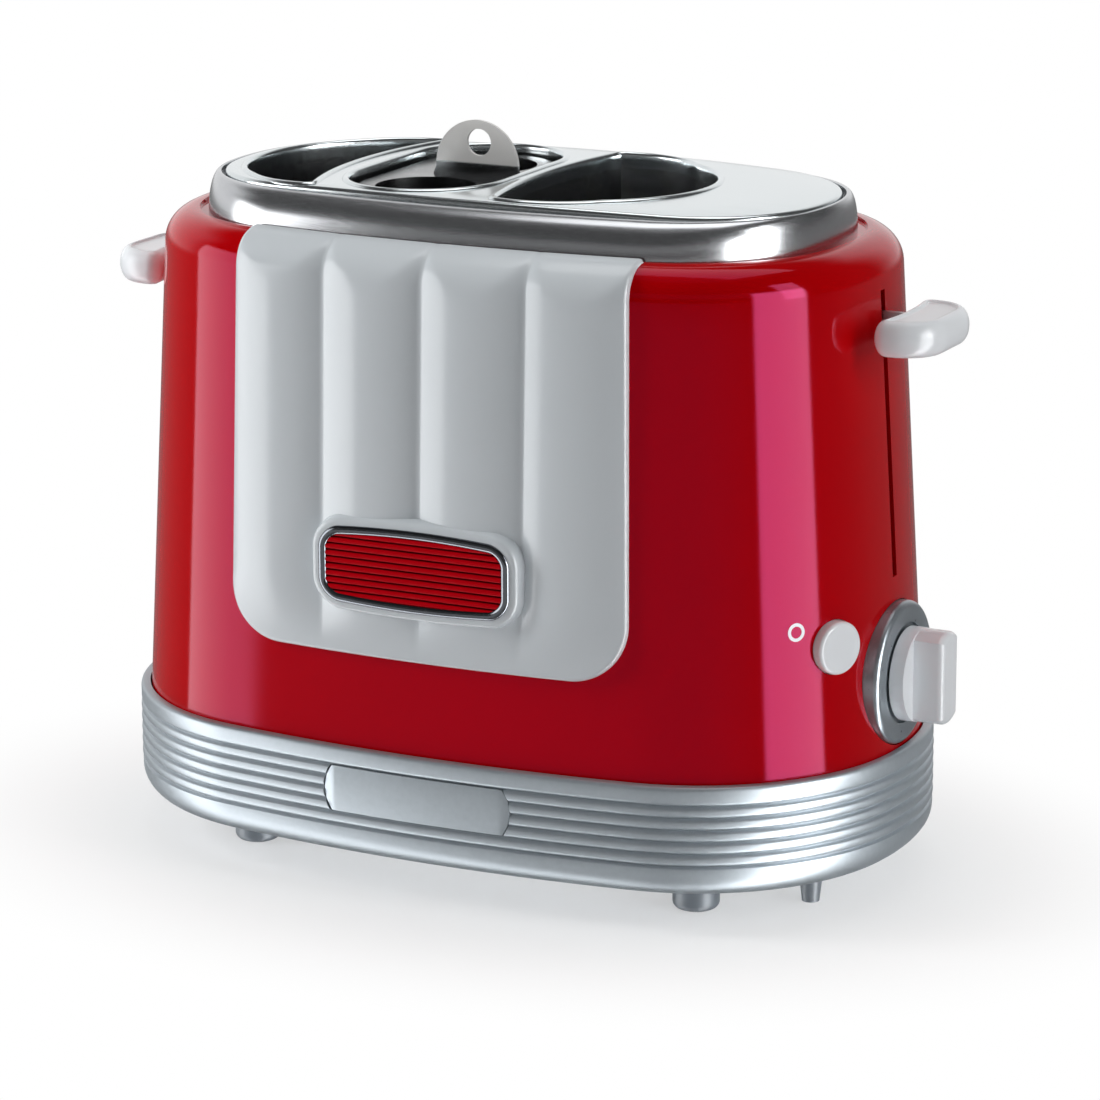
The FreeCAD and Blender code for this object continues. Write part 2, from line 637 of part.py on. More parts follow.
def opening_left(inset):
    far, near, corner = s.left_outer + inset, s.left_inner - inset, s.left_corner - inset
    reach = s.slot_reach - inset
    blend = far + 0.42 * (corner - far)
    round_x, round_y = (corner + blend) / 2 - 2, reach * 0.95
    return [(corner, -reach, round_x, -round_y), (corner, reach, near, 0.0),
            (blend, reach * 0.8, round_x, round_y), (blend, -reach * 0.8, far, 0.0)]


def opening_right(inset):
    near, corner, far = s.right_inner + inset, s.right_corner + inset, s.right_outer - inset
    reach = s.slot_reach - inset
    blend = far - 0.38 * (far - corner)
    round_x, round_y = (corner + blend) / 2 + 3, reach * 0.985
    return [(corner, reach, round_x, round_y), (corner, -reach, near, 0.0),
            (blend, -reach * 0.78, round_x, -round_y), (blend, reach * 0.78, far, 0.0)]


def opening_basket(inset):
    left, right = s.basket_left + inset, s.basket_right - inset
    middle, radius = (left + right) / 2, (right - left) / 2
    straight = s.slot_reach - inset - radius
    return [(right, -straight, middle, -straight - radius), (right, straight),
            (left, straight, middle, straight + radius), (left, -straight)]


def well(name, outline, inset, low, high):
    """A prism over one of the three opening outlines."""
    prism = new_body(name)
    pad(prism, draw_path(sketch(prism, name + "_outline", at=low), outline(inset)), "(%s) - (%s)" % (high, low))
    return prism


OPENINGS = (("left", opening_left), ("basket", opening_basket), ("right", opening_right))
pan = new_body("plate_pan")
pad(pan, draw_oval(sketch(pan, "pan_outline", at=LEDGE_TOP), s.plate_half_length, s.plate_half_depth), "plate_rim + 4")
hollow = new_body("plate_hollow")
pad(hollow, draw_oval(sketch(hollow, "hollow_outline", at=LEDGE_TOP + " - 1"),
                      s.plate_half_length - s.sheet, s.plate_half_depth - s.sheet), "plate_rim + 4")
hollow_dome = common("hollow_dome", hollow, ball("under_dome", "sheet"))
lips = [well(name + "_lip", outline, -s.lip_wall, "plate_top - lip_depth", "plate_top + 1")
        for name, outline in OPENINGS]
pan_sheet = cut("pan_sheet", pan, hollow_dome)
domed = common("plate_domed", fuse("plate_raw", pan_sheet, *lips), ball("over_dome", "0"))
throats = [well(name + "_throat", outline, 0.0, "plate_top - lip_depth - 1", "plate_top + 2")
           for name, outline in OPENINGS]
keep(cut("top_plate", domed, *throats))
liners = []
for name, outline in OPENINGS:
    wall = well(name + "_liner_wall", outline, -s.lip_wall, "plate_top - liner_depth", "plate_top - lip_depth")
    room = well(name + "_liner_room", outline, 0.0, "plate_top - liner_depth - 1", "plate_top - lip_depth + 1")
    liners.append(cut(name + "_liner", wall, room))
keep(group("opening_liners", liners))

# White panels: four ribs swept up the wall and over the shoulder, with a plain border below

PANEL_FOOT = s.panel_foot
RIB_PITCH = 2 * s.panel_half_width / s.rib_count
RIB_ANGLE = math.degrees(RIB_PITCH / s.front_arc)
ARC_CENTRE = s.front_arc - s.body_half_depth
SPRING = s.body_top - s.shoulder


def rib_body():
    """One rib on its own path, then repeated about the centre of the front arc."""
    ribs = new_body("panel_ribs")
    start = PANEL_FOOT - 6.0
    foot_y = -(body_depth(start) + s.panel_base) - ARC_CENTRE
    spring_y = -(body_depth(SPRING) + s.panel_base) - ARC_CENTRE
    lean = math.atan2(spring_y - foot_y, SPRING - start)
    radius = s.shoulder + s.panel_base
    centre_y, centre_z = spring_y + radius * math.cos(lean), SPRING - radius * math.sin(lean)
    middle, last = math.radians(134), math.radians(88)
    path = sketch(ribs, "rib_path", "YZ_Plane")
    path.addGeometry([
        Part.LineSegment(V(foot_y, start, 0), V(spring_y, SPRING, 0)),
        Part.Arc(V(spring_y, SPRING, 0),
                 V(centre_y + radius * math.cos(middle), centre_z + radius * math.sin(middle), 0),
                 V(centre_y + radius * math.cos(last), centre_z + radius * math.sin(last), 0))], False)
    half = RIB_PITCH / 2 + 0.3
    face = draw_path(sketch(ribs, "rib_face", at=str(start)),
                     [(half, foot_y, 0, foot_y - s.rib_bulge), (half, foot_y + 7), (-half, foot_y + 7),
                      (-half, foot_y)])
    pipe = ribs.newObject("PartDesign::AdditivePipe", "rib")
    pipe.Profile = face
    pipe.Spine = (path, ["Edge1", "Edge2"])
    doc.recompute()
    pattern = ribs.newObject("PartDesign::PolarPattern", "ribs")
    pattern.Originals = [pipe]
    pattern.Axis = (plane(ribs, "Z_Axis"), [""])
    pattern.Angle = RIB_ANGLE * (s.rib_count - 1)
    bind(pattern, Occurrences="rib_count")
    ribs.Tip = pattern
    ribs.Placement = FreeCAD.Placement(V(0, ARC_CENTRE, 0),
                                       FreeCAD.Rotation(V(0, 0, 1), -RIB_ANGLE * (s.rib_count - 1) / 2))
    return ribs


def panel_border():
    """The plain lower border, which the creases run out into."""
    border = new_body("panel_border")
    levels = [(PANEL_FOOT - 4, s.border), (PANEL_FOOT + 8, s.border), (PANEL_FOOT + 18, 0.0)]
    loft(border, "border_band", [body_level(border, "border_%d" % n, z, -out)
                                 for n, (z, out) in enumerate(levels)], True)
    return border


def panel_outline():
    """The panel seen from the front, as a prism through the front wall."""
    prism = new_body("panel_outline")
    half, top, corner = s.panel_half_width, s.panel_top_half, s.panel_corner
    turn = corner * (1 - math.sqrt(0.5))
    draw = draw_path(sketch(prism, "panel_edge", "XZ_Plane", "40"),
                     [(half - corner, PANEL_FOOT), (half, PANEL_FOOT + corner, half - turn, PANEL_FOOT + turn),
                      (top, s.body_top + 4), (-top, s.body_top + 4), (-half, PANEL_FOOT + corner),
                      (corner - half, PANEL_FOOT, turn - half, PANEL_FOOT + turn)])
    pad(prism, draw, "60")
    return prism


def barrel(drawing, half, tall, end):
    """The badge's outline: bulging upper and lower edges and slightly bowed ends."""
    low, high = s.badge_height - end, s.badge_height + end
    return draw_path(drawing, [(half, low, 0, s.badge_height - tall), (half, high, half + 0.8, s.badge_height),
                               (-half, high, 0, s.badge_height + tall),
                               (-half, low, -half - 0.8, s.badge_height)])


def badge_layer(name, grow, back, front):
    """A barrel plate on the front, between two depths."""
    plate = new_body(name)
    tall = s.badge_half_tall + grow
    barrel(sketch(plate, name + "_outline", "XZ_Plane", back), s.badge_half_width + grow, tall, tall - s.badge_barrel)
    pad(plate, plate.Group[-1], "(%s) - (%s)" % (front, back))
    round_edges(plate, name + "_corners", "badge_corner + (%s)" % grow,
                lambda edge: edge.BoundBox.XLength < 0.01 and edge.BoundBox.ZLength < 0.01)
    return plate


ribs = rib_body()
border = panel_border()
outline = panel_outline()
former = body_form("panel_former", [(SHELL_FOOT, s.seat_gap / 2)], s.seat_gap / 2, SHOULDER_STEPS)
CREST = s.panel_base + s.rib_bulge + 0.4
rib_limit = body_form("rib_limit", [(PANEL_FOOT - 4, s.border + 0.1), (PANEL_FOOT + 6, s.border + 0.5),
                                    (PANEL_FOOT + 20, CREST)], 0.8, SHOULDER_STEPS)
keep_out = new_body("panel_keep_out")
pad(keep_out, draw_oval(sketch(keep_out, "keep_out_outline", at="body_top - 30"),
                        s.collar_half_length + s.seat_gap, s.collar_half_depth + s.seat_gap), "60")
BADGE_FACE = "body_half_depth + badge_stand"
BOSS_FACE = BADGE_FACE + " - 0.8"
boss = badge_layer("badge_boss", 2.6, "body_half_depth - 12", BOSS_FACE)
swell = common("panel_swell", fuse("panel_solid", ribs, border), rib_limit)
plain = common("panel_plain", swell, outline)
front_raw = fuse("front_raw", plain, boss)
badge_room = badge_layer("badge_room", 2.6, BOSS_FACE, BADGE_FACE + " + 5")
keep(cut("front_panel", front_raw, former, keep_out, badge_room))
mirrored = doc.addObject("Part::Mirroring", "rear_raw")
mirrored.Source = plain
mirrored.Normal = V(0, 1, 0)
keep(cut("rear_panel", mirrored, former, keep_out))

# Badge: a chrome bezel round a ridged insert, both on the panel's boss

bezel = badge_layer("bezel_blank", 0.0, BOSS_FACE, BADGE_FACE)
bezel_hole = badge_layer("bezel_hole", -s.badge_rim, BADGE_FACE + " - 5", BADGE_FACE + " + 5")
keep(cut("badge_bezel", bezel, bezel_hole))
insert = badge_layer("insert_blank", -s.badge_rim - 0.1, BOSS_FACE, BADGE_FACE + " - 0.3")
ridge_gap = new_body("ridge_gap")
ridge_low = s.badge_height - s.badge_half_tall
badge_face = s.body_half_depth + s.badge_stand
gap_sketch = draw_path(sketch(ridge_gap, "ridge_gap_shape", "YZ_Plane", "-50"),
                       [(-badge_face - 1, ridge_low + 2.6), (-badge_face - 1, ridge_low + 3.4),
                        (-badge_face + 0.7, ridge_low + 3.0)])
pad(ridge_gap, gap_sketch, "100")
doc.recompute()
ridge_row = ridge_gap.newObject("PartDesign::LinearPattern", "ridge_row")
ridge_row.Originals = [ridge_gap.Tip]
ridge_row.Direction = (plane(ridge_gap, "Z_Axis"), [""])
bind(ridge_row, Length="badge_half_tall * 2 - 6", Occurrences="12")
ridge_gap.Tip = ridge_row
keep(cut("badge_insert", insert, ridge_gap))

# Timer: dial ring in the end wall, potentiometer behind it, and a knob on its shaft

DIAL_BACK = "dial_face - 10"
dial = new_body("dial_ring")
ring = sketch(dial, "dial_disc", "YZ_Plane", DIAL_BACK)
draw_circle(ring, "0", "dial_height", "dial_radius")
pad(dial, ring, "10")
rim_x = s.dial_face
round_edges(dial, "dial_bevel", "2",
            lambda edge: edge.BoundBox.XMin > rim_x - 0.01 and edge.Length > 6 * s.knob_radius)
sink = sketch(dial, "dial_sink", "YZ_Plane", "dial_face")
draw_circle(sink, "0", "dial_height", "knob_radius + 1.2")
pocket(dial, sink, "1.5")
eye = sketch(dial, "dial_eye", "YZ_Plane", "dial_face")
draw_circle(eye, "0", "dial_height", "shaft_radius + 1")
pocket(dial, eye, "20")
keep(dial)

timer_case = block("timer_case", ("dial_face - 28", DIAL_BACK), ("-12", "12"),
                   ("dial_height - 12", "dial_height + 12"))
timer_bore = rod("timer_bore", ("dial_face - 26", "0", "dial_height"), "shaft_radius + run_gap", "30", "x")
keep(cut("timer_body", timer_case, timer_bore))
keep(rod("timer_shaft", ("dial_face - 25.7", "0", "dial_height"), "shaft_radius", "33", "x"))

KNOB_BACK = "dial_face + 0.4"
knob = new_body("timer_knob")
disc = sketch(knob, "knob_disc", "YZ_Plane", KNOB_BACK)
draw_circle(disc, "0", "dial_height", "knob_radius")
pad(knob, disc, "5")
grip_low, grip_high = s.dial_height - s.knob_radius, s.dial_height + s.knob_radius
half_grip = s.grip_wide / 2
grip = sketch(knob, "knob_grip", "YZ_Plane", KNOB_BACK)
draw_path(grip, [(half_grip, grip_low + 2.5, 0, grip_low), (half_grip, grip_high - 2.5),
                 (-half_grip, grip_high - 2.5, 0, grip_high), (-half_grip, grip_low + 2.5)])
pad(knob, grip, "knob_face - (%s)" % KNOB_BACK)
outer_x = s.knob_face
round_edges(knob, "grip_round", "2.2", lambda edge: edge.BoundBox.XMin > outer_x - 0.01)
socket = sketch(knob, "knob_socket", "YZ_Plane", KNOB_BACK)
draw_circle(socket, "0", "dial_height", "shaft_radius")
pocket(knob, socket, "6.9", up=True)
keep(knob)

# Stop button: a sprung cap on the normal of the end wall, with its stem in a guide

FLANGE_BACK = -5.6
GUIDE_FRONT = -11.5
GUIDE_BACK = -24.0
cap = along_button("button_cap", FLANGE_BACK, "button_proud + 5.6", "button_radius")
flange = along_button("button_flange", FLANGE_BACK, "1.4", "button_radius + 1.6")
stem = along_button("button_stem", -17.0, "12", "3")
soft_edge = doc.addObject("Part::Fillet", "button_soft")
soft_edge.Base = cap
doc.recompute()
face_edge = [n + 1 for n, edge in enumerate(cap.Shape.Edges)
             if (edge.CenterOfMass - BUTTON_SKIN).dot(BUTTON_AXIS) > s.button_proud - 0.1 and edge.Closed]
soft_edge.Edges = [(n, 1.2, 1.2) for n in face_edge]
keep(fuse("stop_button", soft_edge, flange, stem))
coil_out = along_button("button_coil", GUIDE_FRONT + 0.2, "11.5 - 5.6 - 0.4", "4.6")
coil_in = along_button("button_coil_hole", GUIDE_FRONT - 1, "20", "3.4")
keep(cut("button_spring", coil_out, coil_in))

BRACKET = ("dial_face - 30", "dial_face - 28")
standing = block("bracket_plate", BRACKET, ("-44", "16"), (FLOOR, "button_height + 14"))
bracket_foot = block("bracket_foot", ("dial_face - 44", "dial_face - 30"), ("-44", "16"), (FLOOR, FLOOR + " + 2"))
guide = along_button("button_guide", GUIDE_BACK, "12.5", "5.5")
guide_bore = along_button("button_guide_bore", GUIDE_BACK - 5, "30", "3 + run_gap")
keep(cut("control_bracket", fuse("bracket_solid", standing, bracket_foot, guide), guide_bore))

# Chamber: a folded reflector, a frame at each end, guide rods and their brackets

FOLD_X = 72.0
FOLD_Y = 35.0


def chamber_outline(body, name, inset):
    left, right = s.chamber_left + inset, s.chamber_right + (1 if inset else 0)
    deep, fold = s.chamber_half_depth - inset, inset * 0.4
    return draw_path(sketch(body, name, at=FLOOR),
                     [(right, -deep), (right, deep), (fold - FOLD_X, deep), (left, FOLD_Y - fold),
                      (left, fold - FOLD_Y), (fold - FOLD_X, -deep)])


chamber = new_body("reflector_fold")
pad(chamber, chamber_outline(chamber, "chamber_outside", 0.0), "chamber_top - (%s)" % FLOOR)
pocket(chamber, chamber_outline(chamber, "chamber_inside", s.sheet), "chamber_top", up=True)
doc.recompute()
TRAVEL_LOW = "rack_height - lever_travel - 14"
tray_way = block("tray_way", ("tray_left - 4", "chamber_right + 1"), ("-70", "70"), ("0", "tray_floor + tray_tall + 4"))
arm_way = block("arm_way", ("-body_half_length", "tray_left"), ("-5", "5"), (TRAVEL_LOW, "rack_height + 5"))
keep(cut("reflector_wall", chamber, tray_way, arm_way))

right_sheet = block("frame_sheet", ("chamber_right", "chamber_right + sheet"), ("-chamber_half_depth", "chamber_half_depth"),
                    (FLOOR, "chamber_top"))
right_flange = block("frame_flange", ("chamber_right", "rod_x_right + 8"), ("-20", "20"),
                     ("chamber_top - sheet", "chamber_top"))
frame_solid = fuse("frame_solid", right_sheet, right_flange)
ways = [block("beam_way_" + side, ("chamber_right - 5", "chamber_right + 5"),
              (sign + "beam_y - 3", sign + "beam_y + 3"), (TRAVEL_LOW, "rack_height + 4"))
        for side, sign in (("front", "-"), ("rear", ""))]
keep(cut("mechanism_frame", frame_solid, *ways))

left_sheet = block("end_sheet", ("chamber_left - sheet", "chamber_left"), ("-20", "20"), (FLOOR, "chamber_top"))
left_flange = block("end_flange", ("rod_x_left - 3.6", "chamber_left"), ("-20", "20"),
                    ("chamber_top - sheet", "chamber_top"))
keep(cut("end_frame", fuse("end_solid", left_sheet, left_flange), arm_way))

BUSH_LOW = "rack_height + 14"
bushes = []
for side in ("right", "left"):
    x = "rod_x_" + side
    keep(rod("guide_rod_" + side, (x, "rod_y", FLOOR), "rod_radius", "chamber_top - sheet - (%s)" % FLOOR))
    bush_outer = rod("bush_outer_" + side, (x, "rod_y", BUSH_LOW), "bush_radius", "bush_long")
    bush_bore = rod("bush_bore_" + side, (x, "rod_y", BUSH_LOW + " - 1"), "rod_radius + run_gap", "bush_long + 2")
    bushes.append(cut("carriage_bush_" + side, bush_outer, bush_bore))
    spring_low = BUSH_LOW + " + 3"
    wound = rod("spring_outer_" + side, (x, "-rod_y", spring_low), "3.6",
                "chamber_top - sheet - (%s)" % spring_low)
    hollow_coil = rod("spring_hole_" + side, (x, "-rod_y", spring_low + " - 1"), "2.6", "chamber_top")
    keep(cut("return_spring_" + side, wound, hollow_coil))
keep(group("carriage_bushes", bushes))

# Carriage: a slider at each end, joined under the racks, with a lever on each arm

ARM_LOW, ARM_HIGH = "lever_rest - 5", "lever_rest + 5"
RIGHT_PLATE = ("chamber_right + 3.5", "chamber_right + 5.5")
LEFT_PLATE = ("chamber_left - sheet - 4.3", "chamber_left - sheet - 2.3")
BEAM_LOW = "rack_height - beam_tall"
LEVER_ROOT = body_length(s.lever_rest - s.lever_travel) + 0.8
ARM_END = LEVER_ROOT + 9.0


def slider(side, plate_x, boss_x, arm_x, extra):
    """The plate, bush boss, spring lug and lever arm at one end."""
    parts = [block("slider_plate_" + side, plate_x, ("-18", "18"), (BEAM_LOW, "lever_rest + 6")),
             block("slider_boss_" + side, boss_x, ("rod_y - 5.2", "rod_y + 5.2"), (BUSH_LOW, BUSH_LOW + " + bush_long")),
             block("slider_lug_" + side, boss_x, ("-rod_y - 3.6", "-rod_y + 3.6"), (BUSH_LOW, BUSH_LOW + " + 3")),
             block("slider_arm_" + side, arm_x, ("-arm_thick / 2", "arm_thick / 2"), (ARM_LOW, ARM_HIGH))]
    body = fuse("slider_" + side, *(parts + extra))
    seat = rod("slider_seat_" + side, ("rod_x_" + side, "rod_y", BUSH_LOW + " - 1"), "bush_radius", "bush_long + 2")
    return cut("carriage_" + side, body, seat)


wing = block("slider_wing", RIGHT_PLATE, ("-beam_y - 3", "beam_y + 3"), (BEAM_LOW, "rack_height"))
armature_arm = block("armature_arm", (RIGHT_PLATE[1], "rod_x_right + 2"), ("rod_y + 7", "rod_y + 15"),
                     (BEAM_LOW, BEAM_LOW + " + 2"))
keep(slider("right", RIGHT_PLATE, (RIGHT_PLATE[0], "rod_x_right + 5.2"), (RIGHT_PLATE[0], str(ARM_END)),
            [wing, armature_arm]))
inward = block("slider_inward", (LEFT_PLATE[0], "left_outer + 14"), ("-2", "2"), ("rack_height - 4", "rack_height"))
keep(slider("left", LEFT_PLATE, ("rod_x_left - 5.2", LEFT_PLATE[1]), ("-%s" % ARM_END, LEFT_PLATE[1]), [inward]))
ARMATURE_LOW = BEAM_LOW + " - 1.6"
keep(block("armature_plate", ("rod_x_right - 6", "rod_x_right + 6"), ("rod_y + 6", "rod_y + 16"), (ARMATURE_LOW, BEAM_LOW)))
beams = [block("lift_beam_" + side, ("-70", RIGHT_PLATE[0]), (sign + "beam_y - 0.75", sign + "beam_y + 0.75"),
               (BEAM_LOW, "rack_height")) for side, sign in (("front", "-"), ("rear", ""))]
keep(group("lift_beams", beams))


def lever(side, sign):
    """A D-shaped paddle with a dished top, hollowed for its arm."""
    half, corner = s.lever_half_width, s.lever_round
    turn = corner * (1 - math.sqrt(0.5))
    recede = half ** 2 / (2 * s.end_arc)
    paddle = new_body("lever_blank_" + side)
    top = sketch(paddle, "lever_outline_" + side, at="lever_rest - lever_thick / 2")
    points = [(LEVER_ROOT - recede, half, LEVER_ROOT, 0), (s.lever_tip - corner, half),
              (s.lever_tip, half - corner, s.lever_tip - turn, half - turn), (s.lever_tip, corner - half),
              (s.lever_tip - corner, -half, s.lever_tip - turn, turn - half), (LEVER_ROOT - recede, -half)]
    draw_path(top, [tuple(value * sign if n % 2 == 0 else value for n, value in enumerate(point))
                    for point in points])
    pad(paddle, top, "lever_thick")
    low, high = s.lever_rest - s.lever_thick / 2, s.lever_rest + s.lever_thick / 2
    lower, upper = at_height(low), at_height(high)
    round_edges(paddle, "lever_round_" + side, "3.4", lambda edge: lower(edge) or upper(edge))
    dish = rod("lever_dish_" + side, (str(sign * (LEVER_ROOT + 3)), "-lever_half_width - 5",
                                      "lever_rest + lever_thick / 2 + 19"), "21.5", "2 * lever_half_width + 10", "y")
    ends = sorted((sign * (LEVER_ROOT - 5), sign * ARM_END))
    arm_seat = block("lever_seat_" + side, (str(ends[0]), str(ends[1])), ("-arm_thick / 2", "arm_thick / 2"),
                     (ARM_LOW, ARM_HIGH))
    return cut("lever_" + side, paddle, dish, arm_seat)


keep(lever("right", 1))
keep(lever("left", -1))

# Racks: pressed plates on the beams, under each bun slot and under the basket

RACK_TOP = "rack_height + sheet"


def rack(name, outline, ear_x, slot_x):
    plate = well(name + "_plate", outline, s.rack_clearance, "rack_height", RACK_TOP)
    ears = [block("%s_ear_%s" % (name, side), ear_x, y, ("rack_height", RACK_TOP))
            for side, y in (("front", ("-beam_y - 1", "-slot_reach + 12")), ("rear", ("slot_reach - 12", "beam_y + 1")))]
    middle = (s.slot_reach - s.rack_clearance) / 2
    slots = [block("%s_slot_%d" % (name, n), slot_x, (str((n - 1) * middle - 5), str((n - 1) * middle + 5)),
                   ("rack_height - 1", RACK_TOP + " + 1")) for n in range(3)]
    return cut(name, fuse(name + "_solid", plate, *ears), *slots)


keep(rack("bun_rack_left", opening_left, ("left_corner - 9.5", "left_corner - 4"),
          ("left_outer + 14", "left_inner - 10")))
keep(rack("bun_rack_right", opening_right, ("right_corner + 8", "right_corner + 14"),
          ("right_inner + 14", "right_outer - 14")))
keep(block("sausage_platform", ("basket_left + 5.5", "basket_right - 5"), ("-beam_y - 1", "beam_y + 1"),
           ("rack_height", RACK_TOP)))

# Sausage basket: a pressed top with two holes and a lifting tab, over two windowed cages

BASKET_X = (s.basket_left + s.basket_right) / 2
TAB_X = BASKET_X + 8.0
lid = well("basket_lid", opening_basket, s.lid_gap, "basket_top - sheet", "basket_top")
tab_plate = new_body("basket_tab_plate")
tab_face = sketch(tab_plate, "tab_face", "XZ_Plane", "-sheet / 2")
half, tall = s.tab_half_width, s.tab_height
draw_path(tab_face, [(TAB_X + half, s.basket_top - 0.6),
                     (TAB_X + half - 1.5, s.basket_top + 3),
                     (TAB_X - half + 1.5, s.basket_top + 3, TAB_X, s.basket_top + tall),
                     (TAB_X - half, s.basket_top - 0.6)])
draw_circle(tab_face, str(TAB_X + 0.8), "basket_top + tab_hole_up - 0.6", "tab_hole")
pad(tab_plate, tab_face, "sheet")
holes = [rod("sausage_hole_" + side, (str(BASKET_X), sign + "cage_spacing / 2", "basket_top - 20"),
             "cage_radius - cage_wall", "40") for side, sign in (("front", "-"), ("rear", ""))]
keep(cut("basket_top", fuse("basket_raw", lid, tab_plate), *holes))

CAGE_LOW = "rack_height + sheet + seat_gap"
for side, sign in (("front", "-"), ("rear", "")):
    cage = new_body("basket_cage_" + side)
    wall = sketch(cage, "cage_wall_" + side, at=CAGE_LOW)
    draw_circle(wall, "0", "0", "cage_radius")
    pad(cage, wall, "basket_top - sheet - (%s)" % CAGE_LOW)
    bore = sketch(cage, "cage_bore_" + side, at=CAGE_LOW + " + sheet")
    draw_circle(bore, "0", "0", "cage_radius - cage_wall")
    pocket(cage, bore, "basket_top", up=True)
    drain = sketch(cage, "cage_drain_" + side, at=CAGE_LOW)
    draw_circle(drain, "0", "0", "cage_radius - 6")
    pocket(cage, drain, "sheet + 1", up=True)
    low, high = s.rack_height + 8, s.basket_top - 12
    window = draw_path(sketch(cage, "cage_window_" + side, "XZ_Plane"),
                       [(5.5, low), (5.5, high - 5.5), (-5.5, high - 5.5, 0, high), (-5.5, low)])
    opening = pocket(cage, window, "cage_radius + 5")
    opening.Reversed = True
    doc.recompute()
    windows = cage.newObject("PartDesign::PolarPattern", "windows_" + side)
    windows.Originals = [opening]
    windows.Axis = (plane(cage, "Z_Axis"), [""])
    windows.Angle = 360
    bind(windows, Occurrences="cage_windows")
    cage.Tip = windows
    cage.Placement = FreeCAD.Placement(V(BASKET_X, (-1 if sign else 1) * s.cage_spacing / 2, 0), FreeCAD.Rotation())
    keep(cage)

# Heaters: mica boards with ears in the reflector, wound with flat ribbon, behind wire guards

BOARDS = (("left_outer", "chamber_left + sheet + 2", "34.6", 142.0),
          ("left_inner", "left_corner - 1.4", "46", 0.0),
          ("right_inner", "(basket_right + right_inner) / 2 - board_thick / 2", "46", 0.0),
          ("right_outer", "chamber_right - 2.8", "46", 0.0))
windings = {"left": [], "right": []}
for name, x, reach, slot_top in BOARDS:
    board_x = (x, x + " + board_thick")
    mica = block("mica_" + name, board_x, ("-" + reach, reach), ("board_low", "board_high"))
    if slot_top:
        board = cut("heater_board_" + name, mica, arm_way)
    else:
        ears = block("mica_ears_" + name, board_x, ("seat_gap + sheet - chamber_half_depth",
                                                    "chamber_half_depth - sheet - seat_gap"),
                     ("board_high - 10", "board_high"))
        board = fuse("heater_board_" + name, mica, ears)
    keep(board)
    first = max(s.board_low + 6, slot_top + 4)
    last = s.board_high - 14
    turns = int(s.ribbon_turns) if not slot_top else int(s.ribbon_turns / 2)
    for turn in range(turns):
        z = first + (last - first) * turn / (turns - 1)
        outside = block("ribbon_%s_%d" % (name, turn), (x + " - ribbon", x + " + board_thick + ribbon"),
                        ("-%s - ribbon" % reach, reach + " + ribbon"), (str(z), "%s + ribbon_wide" % z))
        windings[name.split("_")[0]].append(cut("winding_%s_%d" % (name, turn), outside, mica))
for side in ("left", "right"):
    keep(group("heater_windings_" + side, windings[side]))


def guard(name, x, reach, count, low):
    """Upright wires with two ties, as one solid."""
    high = "board_high + 3"
    wires = []
    for n in range(count):
        y = str(round(-reach + 2 * reach * n / (count - 1), 3))
        wires.append(rod("%s_wire_%d" % (name, n), (x, y, low), "wire / 2", "%s - (%s)" % (high, low)))
    for n, z in enumerate(("%s + 4" % low, "%s - 4" % high)):
        wires.append(rod("%s_tie_%d" % (name, n), (x, str(-reach), z), "wire / 2", str(2 * reach), "y"))
    return fuse(name, *wires)


OFF = "ribbon + seat_gap + wire / 2"
keep(group("bun_guard_left", [
    guard("guard_left_outer", BOARDS[0][1] + " + board_thick + " + OFF, 20.0, 4, "rack_height + 14"),
    guard("guard_left_inner", BOARDS[1][1] + " - (%s)" % OFF, 28.0, 5, "board_low")]))
keep(group("bun_guard_right", [
    guard("guard_right_inner", BOARDS[2][1] + " + board_thick + " + OFF, 28.0, 5, "board_low"),
    guard("guard_right_outer", BOARDS[3][1] + " - (%s)" % OFF, 28.0, 5, "board_low")]))

# Electrical pieces on the floor of the mechanism end

MAGNET_Y = "rod_y + 11"
core_leg = block("magnet_leg", ("rod_x_right - 4", "rod_x_right + 4"), (MAGNET_Y + " - 4", MAGNET_Y + " + 4"),
                 (FLOOR, "%s - lever_travel - 0.4" % ARMATURE_LOW))
keep(core_leg, "magnet_core")
coil_block = block("coil_block", ("rod_x_right - 7", "rod_x_right + 7"), (MAGNET_Y + " - 5.6", MAGNET_Y + " + 7"),
                   (FLOOR, FLOOR + " + 20"))
keep(cut("magnet_coil", coil_block, core_leg))
keep(block("circuit_board", ("rod_x_right - 6", "dial_face - 33"), ("38", "39.6"), (FLOOR, "button_height")))
keep(block("main_switch", ("rod_x_right - 8", "rod_x_right + 4"), ("-36", "-24"), (FLOOR, FLOOR + " + 28")))
keep(block("terminal_block", ("chamber_right + 6", "chamber_right + 26"), ("54", "64"), (FLOOR, FLOOR + " + 12")))


# Checks and files

doc.recompute()
for thing in doc.Objects:
    if "Invalid" in thing.State or "Error" in thing.State:
        raise RuntimeError("failed: " + thing.Name + " " + str(thing.State))
os.makedirs("parts", exist_ok=True)
for node in NODES:
    if node.Shape.isNull() or not node.Shape.isValid():
        raise RuntimeError("bad shape: " + node.Label)
    node.Shape.exportStep("parts/%s.step" % node.Label)
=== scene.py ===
"""Looks of a hot dog toaster: red body, ribbed white panels, steel top and a ribbed silver skirt."""

import json
import math

import bmesh
import bpy
from mathutils import Matrix, Vector


